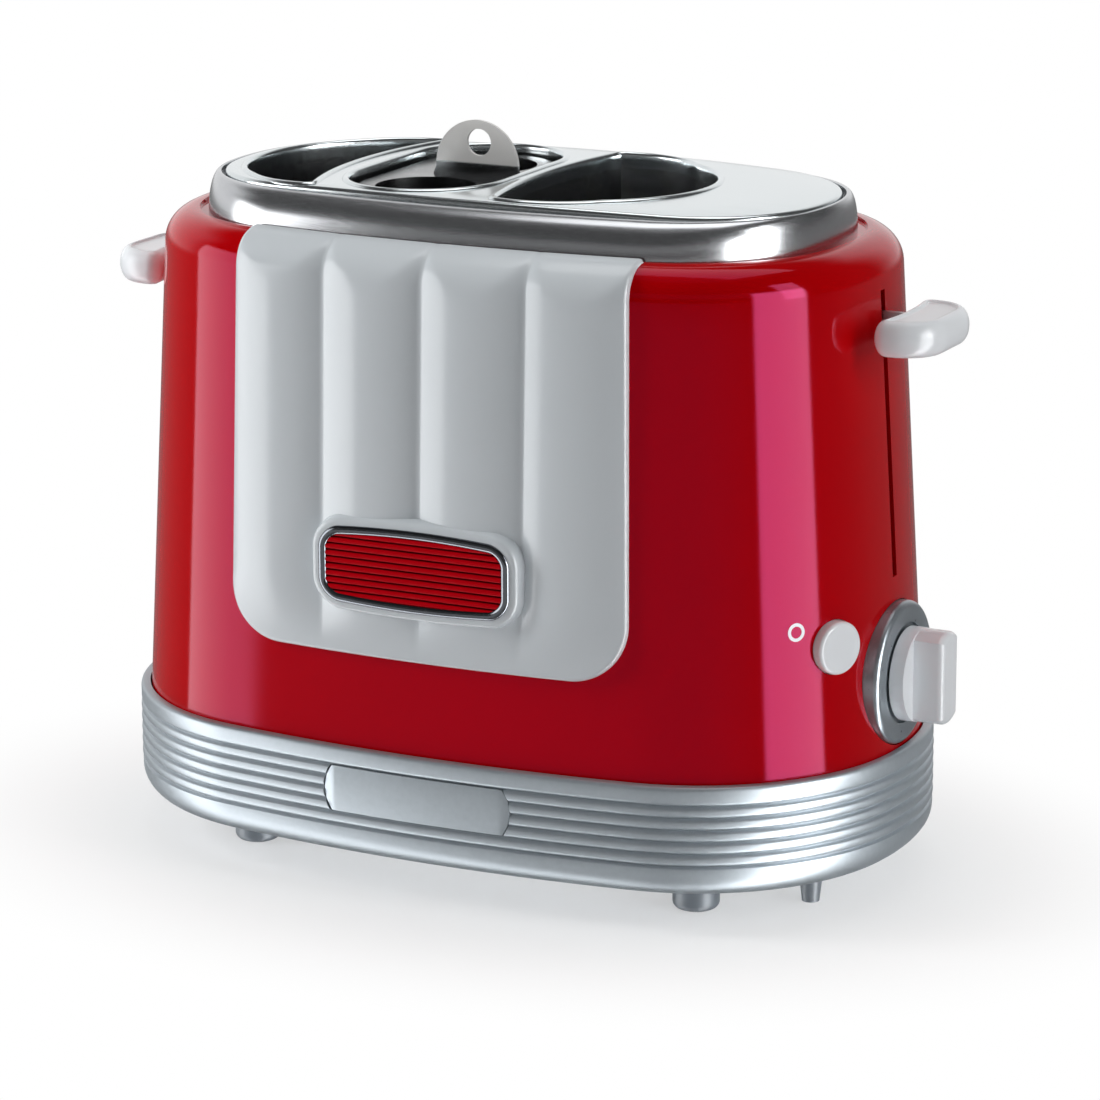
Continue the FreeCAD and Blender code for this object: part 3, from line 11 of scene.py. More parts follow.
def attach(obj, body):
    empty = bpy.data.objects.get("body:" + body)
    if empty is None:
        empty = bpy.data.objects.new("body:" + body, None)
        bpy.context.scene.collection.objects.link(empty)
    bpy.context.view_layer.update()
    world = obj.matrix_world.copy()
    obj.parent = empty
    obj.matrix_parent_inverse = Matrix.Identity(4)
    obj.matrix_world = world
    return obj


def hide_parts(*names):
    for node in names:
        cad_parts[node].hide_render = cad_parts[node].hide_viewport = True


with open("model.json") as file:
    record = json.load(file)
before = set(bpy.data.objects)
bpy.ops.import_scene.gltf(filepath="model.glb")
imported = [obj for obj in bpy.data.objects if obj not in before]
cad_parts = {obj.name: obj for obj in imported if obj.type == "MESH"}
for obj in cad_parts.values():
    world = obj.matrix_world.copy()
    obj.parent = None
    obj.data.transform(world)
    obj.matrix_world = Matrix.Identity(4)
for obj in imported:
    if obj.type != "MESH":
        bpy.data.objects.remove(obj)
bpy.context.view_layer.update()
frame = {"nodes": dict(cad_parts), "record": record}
MM = 0.001

# Sizes of the shells made here, in millimetres
BODY_LENGTH, BODY_DEPTH = 140.0, 83.8
FRONT_ARC, END_ARC, CORNER_ARC = 536.0, 107.0, 74.0
BODY_FOOT, BODY_TOP, SHELL_FOOT = 51.8, 222.0, 46.8
LENGTH_TAPER, DEPTH_TAPER = 0.062, 0.036
SHOULDER, GUTTER, GUTTER_EDGE, BODY_WALL = 11.0, 1.2, 0.6, 2.4
SLOT_HALF, SLOT_FOOT, SLOT_HEAD = 1.7, 110.0, 207.0
DIAL_HEIGHT, DIAL_HOLE, BUTTON_HOLE = 77.0, 24.7, 9.3
SKIRT_FOOT, SKIRT_REACH, SKIRT_ROUND = 13.0, 3.7, 9.0
GROOVE_FIRST, GROOVE_PITCH, GROOVES = 24.6, 4.15, 6
COLLAR_LENGTH, COLLAR_DEPTH, COLLAR_FOOT, COLLAR_TOP, COLLAR_EDGE = 113.6, 65.8, 220.8, 234.0, 0.8
PLATE_LENGTH, PLATE_DEPTH, PLATE_TOP, PLATE_CROWN = 110.0, 54.6, 236.4, 3500.0
PLATE_RIM, RIM_GAP, LEDGE, OPENING_REACH = 4.0, 1.2, 0.7, 48.0
PANEL_HALF, PANEL_TOP_HALF, PANEL_FOOT, PANEL_CORNER = 74.5, 72.5, 84.0, 20.0
PANEL_BASE, RIB_BULGE, RIBS, BORDER = 1.2, 3.5, 4, 2.4
RIB_START, RIB_SINK, RIB_END, PANEL_EDGE, PANEL_LIFT = 26.0, 6.0, 1.3, 1.4, 0.02
BADGE_HEIGHT, BADGE_HALF, BADGE_TALL, BADGE_FACE = 116.0, 35.0, 14.0, 87.4
BADGE_BARREL, BADGE_BOW, BADGE_CORNER = 1.6, 0.8, 7.0
RIDGES, RIDGE_SET_BACK, RIDGE_RISE, RIDGE_MARGIN = 10, 1.25, 0.95, 2.5
NAMEPLATE_HALF, NAMEPLATE_BULGE, NAMEPLATE_GAP, RECESS_DEPTH = 32.6, 2.8, 0.35, 1.6
TRAY_LEFT, TRAY_RIGHT, TRAY_LOW, TRAY_HIGH, TRAY_GAP = -96.0, 58.0, 19.0, 43.0, 0.5


# Outlines: the body's ovals all share the same joint angles between their eight arcs

def oval_angles():
    """Where the front arc meets the corner arc, and the corner arc the end arc, on the body's foot."""
    front = (0.0, BODY_DEPTH - FRONT_ARC)
    end = (BODY_LENGTH - END_ARC, 0.0)
    far = math.dist(front, end)
    reach, short = FRONT_ARC - CORNER_ARC, END_ARC - CORNER_ARC
    along = (far ** 2 + reach ** 2 - short ** 2) / (2 * far)
    aside = math.sqrt(reach ** 2 - along ** 2)
    ux, uy = (end[0] - front[0]) / far, (end[1] - front[1]) / far
    corner = (front[0] + along * ux + aside * uy, front[1] + along * uy - aside * ux)
    first = math.atan2(corner[0] - front[0], corner[1] - front[1])
    return first, math.pi / 2 - math.atan2(corner[1], corner[0] - end[0])


ANGLE_FRONT, ANGLE_END = oval_angles()


def oval_arcs(length, depth):
    """Radii and corner centre of an oval of one half length and half depth."""
    corner = CORNER_ARC - (BODY_LENGTH - length + BODY_DEPTH - depth) / 2
    sin1, cos1 = math.sin(ANGLE_FRONT), math.cos(ANGLE_FRONT)
    sin2, cos2 = math.sin(ANGLE_END), math.cos(ANGLE_END)
    rest_y = depth - corner * (cos1 - cos2)
    rest_x = length - corner * (sin2 - sin1)
    det = (1 - cos1) * (1 - sin2) - cos2 * sin1
    front = (rest_y * (1 - sin2) - cos2 * rest_x) / det
    end = ((1 - cos1) * rest_x - sin1 * rest_y) / det
    return front, end, corner, (front - corner) * sin1, depth - front + (front - corner) * cos1


def oval(length, depth, z):
    """One level of a shell: points anticlockwise from the +X end."""
    front, end, corner, cx, cy = oval_arcs(length, depth)
    tilt_end, tilt_front = math.pi / 2 - ANGLE_END, math.pi / 2 - ANGLE_FRONT
    arcs = ((length - end, 0.0, end, -tilt_end, tilt_end, 16),
            (cx, cy, corner, tilt_end, tilt_front, 60),
            (0.0, depth - front, front, tilt_front, math.pi - tilt_front, 60),
            (-cx, cy, corner, math.pi - tilt_front, math.pi - tilt_end, 60))
    points = []
    for side in (1, -1):
        for x, y, radius, start, stop, count in arcs:
            for step in range(count):
                turn = start + (stop - start) * step / count
                across, out = x + radius * math.cos(turn), y + radius * math.sin(turn)
                points.append((side * across, side * out, z))
    return points


def body_length(z):
    """Half length of the leaning body at a height."""
    return BODY_LENGTH - LENGTH_TAPER * (z - BODY_FOOT)


def body_depth(z):
    """Half depth of the leaning body at a height."""
    return BODY_DEPTH - DEPTH_TAPER * (z - BODY_FOOT)


# Mesh helpers

def make(name, points, faces, body="housing", sharp=30.0):
    """A smooth-shaded piece in metres from points in millimetres, which rides on a body."""
    mesh = bpy.data.meshes.new(name)
    mesh.from_pydata([Vector(point) * MM for point in points], [], faces)
    mesh.validate()
    mesh.shade_smooth()
    mesh.set_sharp_from_angle(angle=math.radians(sharp))
    piece = bpy.data.objects.new(name, mesh)
    bpy.context.scene.collection.objects.link(piece)
    if body:
        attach(piece, body)
    return piece


def skin(rings, closed=True):
    """Quads between rings of equal count; closed joins the last ring to the first."""
    count = len(rings[0])
    faces = []
    for row in range(len(rings) if closed else len(rings) - 1):
        low, high = row * count, ((row + 1) % len(rings)) * count
        for n in range(count):
            after = (n + 1) % count
            faces.append((low + n, low + after, high + after, high + n))
    return faces


def shell(name, rings, **options):
    """A piece whose section is a closed row of rings."""
    points = [point for ring in rings for point in ring]
    return make(name, points, skin(rings), **options)


def spread(first, last, count):
    """Even steps from first to last, with both ends."""
    return [first + (last - first) * step / (count - 1) for step in range(count)]


def block(name, x, y, z):
    """A plain box used as a cutter."""
    points = [(a, b, c) for a in x for b in y for c in z]
    faces = [(0, 1, 3, 2), (4, 6, 7, 5), (0, 4, 5, 1), (2, 3, 7, 6), (0, 2, 6, 4), (1, 5, 7, 3)]
    return make(name, points, faces, body=None)


def circle(centre, turn, radius, lift, sides):
    """Points round an axis, at a distance along it from the centre."""
    angles = [2 * math.pi * n / sides for n in range(sides)]
    return [centre + turn @ Vector((radius * math.cos(a), radius * math.sin(a), lift)) for a in angles]


def drum(name, centre, axis, radius, long):
    """A cylinder used as a cutter, from its centre along an axis both ways."""
    sides = 64
    turn = Vector(axis).normalized().to_track_quat("Z", "Y")
    rings = [circle(Vector(centre), turn, radius, end, sides) for end in (-long, long)]
    faces = skin(rings, closed=False) + [tuple(reversed(range(sides))), tuple(range(sides, 2 * sides))]
    return make(name, rings[0] + rings[1], faces, body=None)


def settle(piece, sharp):
    """Turn a piece's modifiers into its mesh."""
    evaluated = piece.evaluated_get(bpy.context.evaluated_depsgraph_get())
    mesh = bpy.data.meshes.new_from_object(evaluated)
    piece.modifiers.clear()
    piece.data = mesh
    mesh.shade_smooth()
    mesh.set_sharp_from_angle(angle=math.radians(sharp))


def carve(piece, *tools, operation="DIFFERENCE", sharp=30.0):
    """Cut a piece with tools, which go away, or keep what it shares with them."""
    for tool in tools:
        cut = piece.modifiers.new("cut", "BOOLEAN")
        cut.object, cut.operation, cut.solver = tool, operation, "EXACT"
    settle(piece, sharp)
    for tool in tools:
        bpy.data.objects.remove(tool)


# Shader helpers: an expression on values adds the nodes that work it out

class Value:
    """A number, colour or vector that a node gives."""

    def __init__(self, finish, socket):
        self.finish, self.socket = finish, socket

    def math(self, operation, first, second):
        return self.finish.node("ShaderNodeMath", {"operation": operation}, {0: first, 1: second})

    def __add__(self, other):
        return self.math("ADD", self, other)

    __radd__ = __add__

    def __mul__(self, other):
        return self.math("MULTIPLY", self, other)

    __rmul__ = __mul__

    def __sub__(self, other):
        return self.math("SUBTRACT", self, other)

    def __rsub__(self, other):
        return self.math("SUBTRACT", other, self)


class Graph:
    """The nodes of one material or of the world."""

    def __init__(self, tree):
        self.tree = tree

    def node(self, kind, settings, inputs, output=0):
        """Add a node: its settings first, then the values or links of its sockets."""
        node = self.tree.nodes.new(kind)
        for name, setting in settings.items():
            setattr(node, name, setting)
        for name, value in inputs.items():
            if isinstance(value, Value):
                self.tree.links.new(value.socket, node.inputs[name])
            else:
                node.inputs[name].default_value = value
        return Value(self, node.outputs[output])

    def ease(self, value, low, high):
        """A smooth step from 0 where value is low to 1 where it is high."""
        return self.node("ShaderNodeMapRange", {"interpolation_type": "SMOOTHSTEP"},
                         {"Value": value, "From Min": low, "From Max": high})

    def mix(self, factor, low, high):
        return self.node("ShaderNodeMix", {"data_type": "RGBA"}, {0: factor, 6: low, 7: high}, 2)


class Finish(Graph):
    """One procedural material."""

    def __init__(self, name, **constants):
        self.material = bpy.data.materials.new(name)
        self.material.use_nodes = True
        super().__init__(self.material.node_tree)
        self.shader = self.tree.nodes["Principled BSDF"]
        for socket, number in constants.items():
            self.shader.inputs[socket.replace("_", " ")].default_value = number

    def drive(self, socket, value):
        """Link what changes over the surface to a socket of the shader."""
        self.tree.links.new(value.socket, self.shader.inputs[socket])

    def place(self, scale=(1.0, 1.0, 1.0)):
        """Position on the object, stretched along each axis."""
        where = self.node("ShaderNodeTexCoord", {}, {}, "Object")
        return self.node("ShaderNodeMapping", {}, {"Vector": where, "Scale": scale})

    def noise(self, scale, detail=2.0, stretch=(1.0, 1.0, 1.0)):
        where = self.place(stretch)
        return self.node("ShaderNodeTexNoise", {}, {"Vector": where, "Scale": scale, "Detail": detail})

    def bump(self, height, strength, distance):
        sizes = {"Height": height, "Strength": strength, "Distance": distance}
        self.drive("Normal", self.node("ShaderNodeBump", {}, sizes))


def colour(red, green, blue):
    """A display colour as the shader's linear one."""
    return tuple((part / 255 / 12.92 if part < 10.4 else ((part / 255 + 0.055) / 1.055) ** 2.4)
                 for part in (red, green, blue)) + (1.0,)


PLAIN, EVEN = (1.0, 1.0, 1.0, 1.0), (1.0, 1.0, 1.0)
ALONG, UPRIGHT = (0.05, 1.0, 1.0), (0.4, 0.4, 8.0)
RED_SHEEN, INSERT_SHEEN = (1.0, 0.14, 0.46, 1.0), (1.0, 0.2, 0.3, 1.0)
SKIN_DEPTH = 0.04


def moulded(name, dark, light, roughness, gloss=0.5, sheen=PLAIN):
    """Moulded or lacquered plastic: faint mottling, uneven gloss and a fine skin."""
    finish = Finish(name, Specular_IOR_Level=gloss, Specular_Tint=sheen, IOR=1.5)
    finish.drive("Base Color", finish.mix(finish.noise(14.0), dark, light))
    finish.drive("Roughness", finish.noise(60.0, 4.0) * 0.06 + (roughness - 0.03))
    finish.bump(finish.noise(420.0), 0.08, SKIN_DEPTH * MM)
    return finish.material


def steel(name, dark, light, roughness, streak=EVEN, depth=0.02, metallic=1.0):
    """Sheet metal, or metallic paint, with a fine grain or streaks along one axis."""
    finish = Finish(name, Metallic=metallic)
    lines = finish.noise(500.0, 4.0, streak)
    finish.drive("Base Color", finish.mix(lines, dark, light))
    finish.drive("Roughness", lines * 0.12 + (roughness - 0.06))
    finish.bump(lines, 0.15, depth * MM)
    return finish.material


BODY_RED = moulded("body_red", colour(176, 0, 3), colour(184, 0, 4), 0.08, 0.32, RED_SHEEN)
PANEL_WHITE = moulded("panel_white", colour(206, 212, 216), colour(212, 218, 222), 0.2, 0.4)
HANDLE_WHITE = moulded("handle_white", colour(230, 234, 238), colour(238, 241, 244), 0.24, 0.4)
FOOT_GREY = moulded("foot_grey", colour(132, 138, 144), colour(146, 152, 158), 0.4)
DARK_PLASTIC = moulded("dark_plastic", colour(24, 24, 26), colour(34, 34, 36), 0.45)
BOARD_GREEN = moulded("board_green", colour(18, 74, 40), colour(26, 92, 52), 0.35)
MICA = moulded("mica", colour(150, 132, 104), colour(186, 168, 138), 0.5)
SKIRT_SILVER = steel("skirt_silver", colour(158, 166, 172), colour(170, 178, 184), 0.4, EVEN, 0.01, 0.6)
POLISHED_STEEL = steel("polished_steel", colour(188, 190, 192), colour(208, 210, 212), 0.20, ALONG)
COLLAR_STEEL = steel("collar_steel", colour(176, 178, 181), colour(200, 202, 205), 0.23, UPRIGHT, 0.003, 0.94)
PLATE_STEEL = steel("plate_steel", colour(206, 212, 214), colour(222, 228, 230), 0.20, ALONG, 0.01)
SHEET_STEEL = steel("sheet_steel", colour(150, 152, 154), colour(176, 178, 180), 0.30, (1.0, 1.0, 0.1))
PLAIN_STEEL = steel("plain_steel", colour(160, 162, 165), colour(180, 182, 184), 0.25)
CHROME = steel("chrome", colour(96, 99, 104), colour(110, 113, 118), 0.16, EVEN, 0.002)
DIAL_SILVER = steel("dial_silver", colour(140, 148, 154), colour(152, 160, 166), 0.3, EVEN, 0.01, 0.6)
BUSH_BRASS = steel("bush_brass", colour(176, 140, 74), colour(196, 160, 92), 0.25)
COIL_COPPER = steel("coil_copper", colour(150, 84, 48), colour(184, 112, 70), 0.3, (1.0, 1.0, 8.0))
HEAT_RIBBON = steel("heat_ribbon", colour(96, 90, 84), colour(126, 118, 110), 0.4)

# The insert is red on its crests, and its valleys are darkened with painted shade

RIDGE_VALLEY = BADGE_FACE - RIDGE_SET_BACK
insert_red = Finish("badge_red", Specular_IOR_Level=0.12, Specular_Tint=INSERT_SHEEN)
crest = insert_red.node("ShaderNodeSeparateXYZ", {}, {0: insert_red.place((1.0, -1.0, 1.0))}, "Y")
unshaded_crest_share = insert_red.ease(crest, (RIDGE_VALLEY + 0.4) * MM, (RIDGE_VALLEY + 0.8) * MM)
# Painted shade: the valleys take a dark red in place of the shade that falls in the grooves
insert_red.drive("Base Color", insert_red.mix(unshaded_crest_share, colour(70, 0, 6), colour(184, 0, 14)))
insert_red.drive("Roughness", 0.7 - unshaded_crest_share * 0.3 + insert_red.noise(90.0) * 0.05)
BADGE_RED = insert_red.material

# The basket is steel darkened up to its lid, as painted shade of its deep recess, and its tab is duller and
# paler

basket = Finish("basket_steel")
tab_height = basket.node("ShaderNodeSeparateXYZ", {}, {0: basket.place()}, "Z")
tab_share = basket.ease(tab_height, (PLATE_TOP + 1.1) * MM, (PLATE_TOP + 2.1) * MM)
# Painted shade: the dark grey below the tab stands in for the shade and dark reflections inside the basket's
# recess
basket.drive("Base Color", basket.mix(tab_share, colour(132, 133, 134), colour(232, 231, 229)))
basket.drive("Metallic", 1.0 - tab_share * 0.65)
basket.drive("Roughness", 0.16 + basket.noise(60.0, stretch=(0.1, 1.0, 1.0)) * 0.12 + tab_share * 0.12)
BASKET_STEEL = basket.material

# The record's material slots, put on the model's own pieces

FINISHES = {"body_red": BODY_RED, "panel_white": PANEL_WHITE, "chrome": CHROME, "badge_red": BADGE_RED,
            "skirt_silver": SKIRT_SILVER, "foot_grey": FOOT_GREY, "polished_steel": POLISHED_STEEL,
            "basket_steel": BASKET_STEEL, "handle_white": HANDLE_WHITE, "sheet_steel": SHEET_STEEL,
            "plain_steel": PLAIN_STEEL, "bush_brass": BUSH_BRASS, "mica": MICA, "heat_ribbon": HEAT_RIBBON,
            "board_green": BOARD_GREEN, "coil_copper": COIL_COPPER, "dark_plastic": DARK_PLASTIC}

for part in frame["record"]["subparts"]:
    node = frame["nodes"][part["node"]]
    node.data.materials.clear()
    node.data.materials.append(FINISHES[part["material_slot"]])
frame["nodes"]["dial_ring"].data.materials[0] = DIAL_SILVER


def dress(piece, slot, *nodes, finish=None):
    """Give a piece its finish, and hide the CAD nodes it stands for."""
    piece.data.materials.clear()
    piece.data.materials.append(finish or FINISHES[slot])
    if nodes:
        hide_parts(*nodes)
    return piece


# Red body

HOLE_LENGTH, HOLE_DEPTH = COLLAR_LENGTH - 4.0, COLLAR_DEPTH - 4.0
BUTTON_AXIS, BUTTON_SKIN = (0.90703, -0.42107, 0.0), (130.262, -36.0, 93.8)


def body_rings(inset, low):
    """Rings from the foot up the wall, round the shoulder and in to the top opening."""
    spring = BODY_TOP - SHOULDER
    radius = SHOULDER - inset
    rings = [oval(body_length(z) - inset, body_depth(z) - inset, z) for z in spread(low, spring, 10)]
    for step in range(1, 13):
        turn = math.radians(90.0 * step / 12)
        z = spring + radius * math.sin(turn)
        sink = radius * (1 - math.cos(turn)) + inset
        rings.append(oval(body_length(z) - sink, body_depth(z) - sink, z))
    if inset == 0:
        rim = SHOULDER + GUTTER_EDGE
        for drop in (0.0, GUTTER):
            length, depth = body_length(BODY_TOP) - rim - drop / 3, body_depth(BODY_TOP) - rim - drop / 3
            rings.append(oval(length, depth, BODY_TOP - drop))
    rings.append(oval(HOLE_LENGTH, HOLE_DEPTH, BODY_TOP - max(inset, GUTTER)))
    return rings


outside = body_rings(0.0, SHELL_FOOT)
inside = body_rings(BODY_WALL, SHELL_FOOT)
inside.insert(-1, oval(HOLE_LENGTH + 0.1, HOLE_DEPTH + 0.1, BODY_TOP - BODY_WALL))
red_body = shell("red_body", outside + inside[::-1])
carve(red_body,
      block("slot_cut", (-150.0, 150.0), (-SLOT_HALF, SLOT_HALF), (SLOT_FOOT, SLOT_HEAD)),
      drum("dial_cut", (130.0, 0.0, DIAL_HEIGHT), (1.0, 0.0, 0.0), DIAL_HOLE, 30.0),
      drum("button_cut", BUTTON_SKIN, BUTTON_AXIS, BUTTON_HOLE, 20.0))
dress(red_body, "body_red", "outer_shell")

# White panels: one height above the red body makes the ribs, the plain border below them and the round edge

SPRING = BODY_TOP - SHOULDER
RIB_PITCH = 2 * PANEL_HALF / RIBS


def wall_point(x, z, height):
    """A point on the front wall, or up the shoulder where z passes its start, lifted off the red body."""
    if z <= SPRING:
        length, depth, level, turn = body_length(z), body_depth(z), z, 0.0
    else:
        turn = (z - SPRING) / SHOULDER
        level = SPRING + SHOULDER * math.sin(turn)
        sink = SHOULDER * (1 - math.cos(turn))
        length, depth = body_length(level) - sink, body_depth(level) - sink
    front = oval_arcs(length, depth)[0]
    side = math.asin(max(-1.0, min(1.0, x / front)))
    out = front + height * math.cos(turn)
    return (out * math.sin(side), -(depth - front + out * math.cos(side)), level + height * math.sin(turn))


def panel_height(x, z):
    """Thickness of the panel: ribs that melt into the plain border below and sink at the top."""
    across = (abs(x) / RIB_PITCH) % 1.0 * 2 - 1
    rib = PANEL_BASE + RIB_BULGE * (1 - across ** 2)
    ribbed = BORDER + (rib - BORDER) * smooth((z - PANEL_FOOT) / RIB_START)
    if z < SPRING - RIB_SINK:
        return ribbed
    crest = PANEL_BASE + RIB_BULGE + 0.4
    turn = (z - SPRING + RIB_SINK) / (SHOULDER * 1.35 + RIB_SINK)
    return soft_least(ribbed, RIB_END + (crest - RIB_END) * (1 - smooth(turn)), 0.25)


def smooth(part):
    """A smooth step from 0 to 1."""
    part = max(0.0, min(1.0, part))
    return part * part * (3 - 2 * part)


def soft_least(first, second, blend):
    """The lesser of two, rounded where they meet."""
    return (first + second - math.sqrt((first - second) ** 2 + blend ** 2)) / 2


def panel_half(z):
    """Half width of the panel at a height: round lower corners, then a slight taper."""
    up = z - PANEL_FOOT
    if up < PANEL_CORNER:
        return PANEL_HALF - PANEL_CORNER + math.sqrt(max(0.0, PANEL_CORNER ** 2 - (PANEL_CORNER - up) ** 2))
    tall = BODY_TOP - PANEL_FOOT - PANEL_CORNER
    return PANEL_HALF + (PANEL_TOP_HALF - PANEL_HALF) * (up - PANEL_CORNER) / tall


def edge_gap(x, z):
    """Distance in from the panel's outline."""
    up, half = z - PANEL_FOOT, panel_half(max(z, PANEL_FOOT + PANEL_CORNER))
    inner = half - PANEL_CORNER
    if abs(x) > inner and up < PANEL_CORNER:
        return PANEL_CORNER - math.hypot(abs(x) - inner, PANEL_CORNER - up)
    return min(up, half - abs(x)) if up < PANEL_CORNER else half - abs(x)


def panel(side):
    """The panel on the front (side 1) or the rear (side -1)."""
    core = PANEL_HALF - PANEL_CORNER
    creases = (-RIB_PITCH, 0.0, RIB_PITCH)
    middle = sorted({round(core * n / 44, 4) for n in range(-44, 45)} | set(creases))
    middle = [x for x in middle if all(x == crease or abs(x - crease) > 0.5 for crease in creases)]
    flanks = [1 - (1 - n / 16) ** 1.8 for n in range(1, 17)]
    corner = [PANEL_FOOT + PANEL_CORNER * (1 - math.cos(math.radians(90.0 * n / 22))) for n in range(23)]
    turns = [SPRING + SHOULDER * math.radians(5.5 * n) for n in range(1, 17)]
    rows = corner + spread(PANEL_FOOT + PANEL_CORNER, SPRING, 44)[1:] + turns
    points = []
    for z in rows:
        width = panel_half(min(z, BODY_TOP))
        xs = [-core - (width - core) * share for share in reversed(flanks)] + middle
        xs += [core + (width - core) * share for share in flanks]
        for x in xs:
            gap = max(0.0, edge_gap(x, z))
            round_edge = math.sqrt(max(0.0, 1 - (1 - min(gap / PANEL_EDGE, 1.0)) ** 2))
            px, py, pz = wall_point(x, z, panel_height(x, z) * round_edge + PANEL_LIFT)
            points.append((px * side, py * side, pz))
    count = len(middle) + 2 * len(flanks)
    faces = [(row * count + n, row * count + n + 1, (row + 1) * count + n + 1, (row + 1) * count + n)
             for row in range(len(rows) - 1) for n in range(count - 1)]
    return points, faces


def barrel(grow, y):
    """The badge's outline: bulging long edges, bowed ends and rounded corners."""
    half, tall = BADGE_HALF + grow, BADGE_TALL + grow
    end = tall - BADGE_BARREL
    radius = BADGE_CORNER + grow
    points = []
    for turn, sx, sz in ((0, 1, -1), (1, 1, 1), (2, -1, 1), (3, -1, -1)):
        for step in range(13):
            angle = math.radians(-90 + 90 * turn + 90 * step / 12)
            x = sx * (half - radius) + radius * math.cos(angle)
            z = sz * (end - radius) + radius * math.sin(angle)
            bulge = (tall - end) * (1 - (x / half) ** 2) * (z / end)
            bow = BADGE_BOW * (1 - (z / end) ** 2) * (x / half)
            points.append((x + bow, y, BADGE_HEIGHT + z + bulge))
        if turn % 2 == 1:
            z = sz * end
            for step in range(1, 24):
                x = sx * (half - radius) * (1 - step / 12)
                bulge = (tall - end) * (1 - (x / half) ** 2) * (z / end)
                points.append((x, y, BADGE_HEIGHT + z + bulge))
    return points


def capped(rings):
    """Points and faces between rings, with a fan over the last ring."""
    points = [point for ring in rings for point in ring]
    count, last = len(rings[0]), len(rings) - 1
    middle = tuple(sum(point[n] for point in rings[-1]) / count for n in range(3))
    faces = skin(rings, closed=False)
    faces += [(last * count + n, last * count + (n + 1) % count, len(points)) for n in range(count)]
    return points + [middle], faces


def solid(rings):
    """Points and faces between rings, with a fan over the last ring and one face under the first."""
    points, faces = capped(rings)
    return points, faces + [tuple(reversed(range(len(rings[0]))))]


def join_lists(*lists):
    """Points and faces of several forms as those of one."""
    points, faces = [], []
    for some_points, some_faces in lists:
        faces += [tuple(n + len(points) for n in face) for face in some_faces]
        points += some_points
    return points, faces


def welded(piece, sharp=30.0):
    """Merge points that meet and turn every face outwards."""
    mesh = bmesh.new()
    mesh.from_mesh(piece.data)
    bmesh.ops.remove_doubles(mesh, verts=mesh.verts, dist=0.00001)
    bmesh.ops.recalc_face_normals(mesh, faces=mesh.faces)
    mesh.to_mesh(piece.data)
    mesh.free()
    piece.data.shade_smooth()
    piece.data.set_sharp_from_angle(angle=math.radians(sharp))
    return piece


def cutter(name, rings):
    """A closed form used as a cutter, or cut to shape before it rides on a body."""
    return welded(make(name, *solid(rings), body=None))


# The badge's boss flares out of the ribs, and its middle lies below the insert's valleys

BOSS_FACE, BOSS_WELL = BADGE_FACE - 0.8, 85.2
BOSS = [(4.0, -79.0), (3.5, -82.2), (3.1, -84.2), (2.7, -85.5), (2.3, -86.2), (1.8, -86.5),
        (1.0, -BOSS_FACE), (-1.4, -BOSS_FACE), (-1.8, -BOSS_WELL), (-4.0, -BOSS_WELL)]
boss_rings = [barrel(grow, y) for grow, y in BOSS]
front_panel = make("front_panel_white", *join_lists(panel(1), capped(boss_rings)))
dress(welded(front_panel, 40.0), "panel_white", "front_panel")
rear_panel = make("rear_panel_white", *panel(-1))
dress(welded(rear_panel, 40.0), "panel_white", "rear_panel")

# Badge: chrome bezel with a rounded rim, and an insert of level ridges

BEZEL_MIDDLE, BEZEL_HALF, BEZEL_RISE = -1.35, 1.45, 1.05
BEZEL_BACK = -BOSS_FACE + 0.3
BEZEL = [(BEZEL_MIDDLE + BEZEL_HALF, BEZEL_BACK)]
for step in range(13):
    turn = math.radians(180.0 * step / 12)
    out = BOSS_FACE - 0.1 + BEZEL_RISE * math.sin(turn)
    BEZEL.append((BEZEL_MIDDLE + BEZEL_HALF * math.cos(turn), -out))
BEZEL.append((BEZEL_MIDDLE - BEZEL_HALF, BEZEL_BACK))
bezel = shell("badge_bezel_chrome", [barrel(grow, y) for grow, y in BEZEL])
dress(welded(bezel, 50.0), "chrome", "badge_bezel")

INSERT_FOOT, INSERT_HEAD = BADGE_HEIGHT - BADGE_TALL + RIDGE_MARGIN, BADGE_HEIGHT + BADGE_TALL - RIDGE_MARGIN
INSERT_BACK, INSERT_EDGE = BOSS_FACE - 0.6, 2.7


def ridged_block():
    """A block with level ridges over its front: three columns of points, with the back's two rows last."""
    pitch = (INSERT_HEAD - INSERT_FOOT) / RIDGES
    levels = []
    for ridge in range(RIDGES):
        for step in range(8):
            rise = abs(math.sin(math.pi * step / 8)) ** 0.45
            levels.append((INSERT_FOOT + pitch * (ridge + step / 8), -(RIDGE_VALLEY + RIDGE_RISE * rise)))
    levels.append((INSERT_HEAD, -RIDGE_VALLEY))
    rows = len(levels)
    levels += [(levels[0][0], -INSERT_BACK), (levels[-1][0], -INSERT_BACK)]
    points = [(x, y, z) for z, y in levels for x in (-BADGE_HALF, 0.0, BADGE_HALF)]
    order = list(range(rows)) + [rows + 1, rows]
    faces = []
    for low, high in zip(order, order[1:] + order[:1]):
        for n in range(2):
            faces.append((low * 3 + n, low * 3 + n + 1, high * 3 + n + 1, high * 3 + n))
    for n in (0, 2):
        faces.append(tuple(row * 3 + n for row in order))
    return points, faces


insert = welded(make("badge_insert_red", *ridged_block()))
insert_edge = cutter("insert_edge", [barrel(-INSERT_EDGE, y) for y in (-95.0, -80.0)])
carve(insert, insert_edge, operation="INTERSECT", sharp=40.0)
dress(insert, "badge_red", "badge_insert")

# Steel collar: a band that leans in and rounds over to the ledge that carries the plate

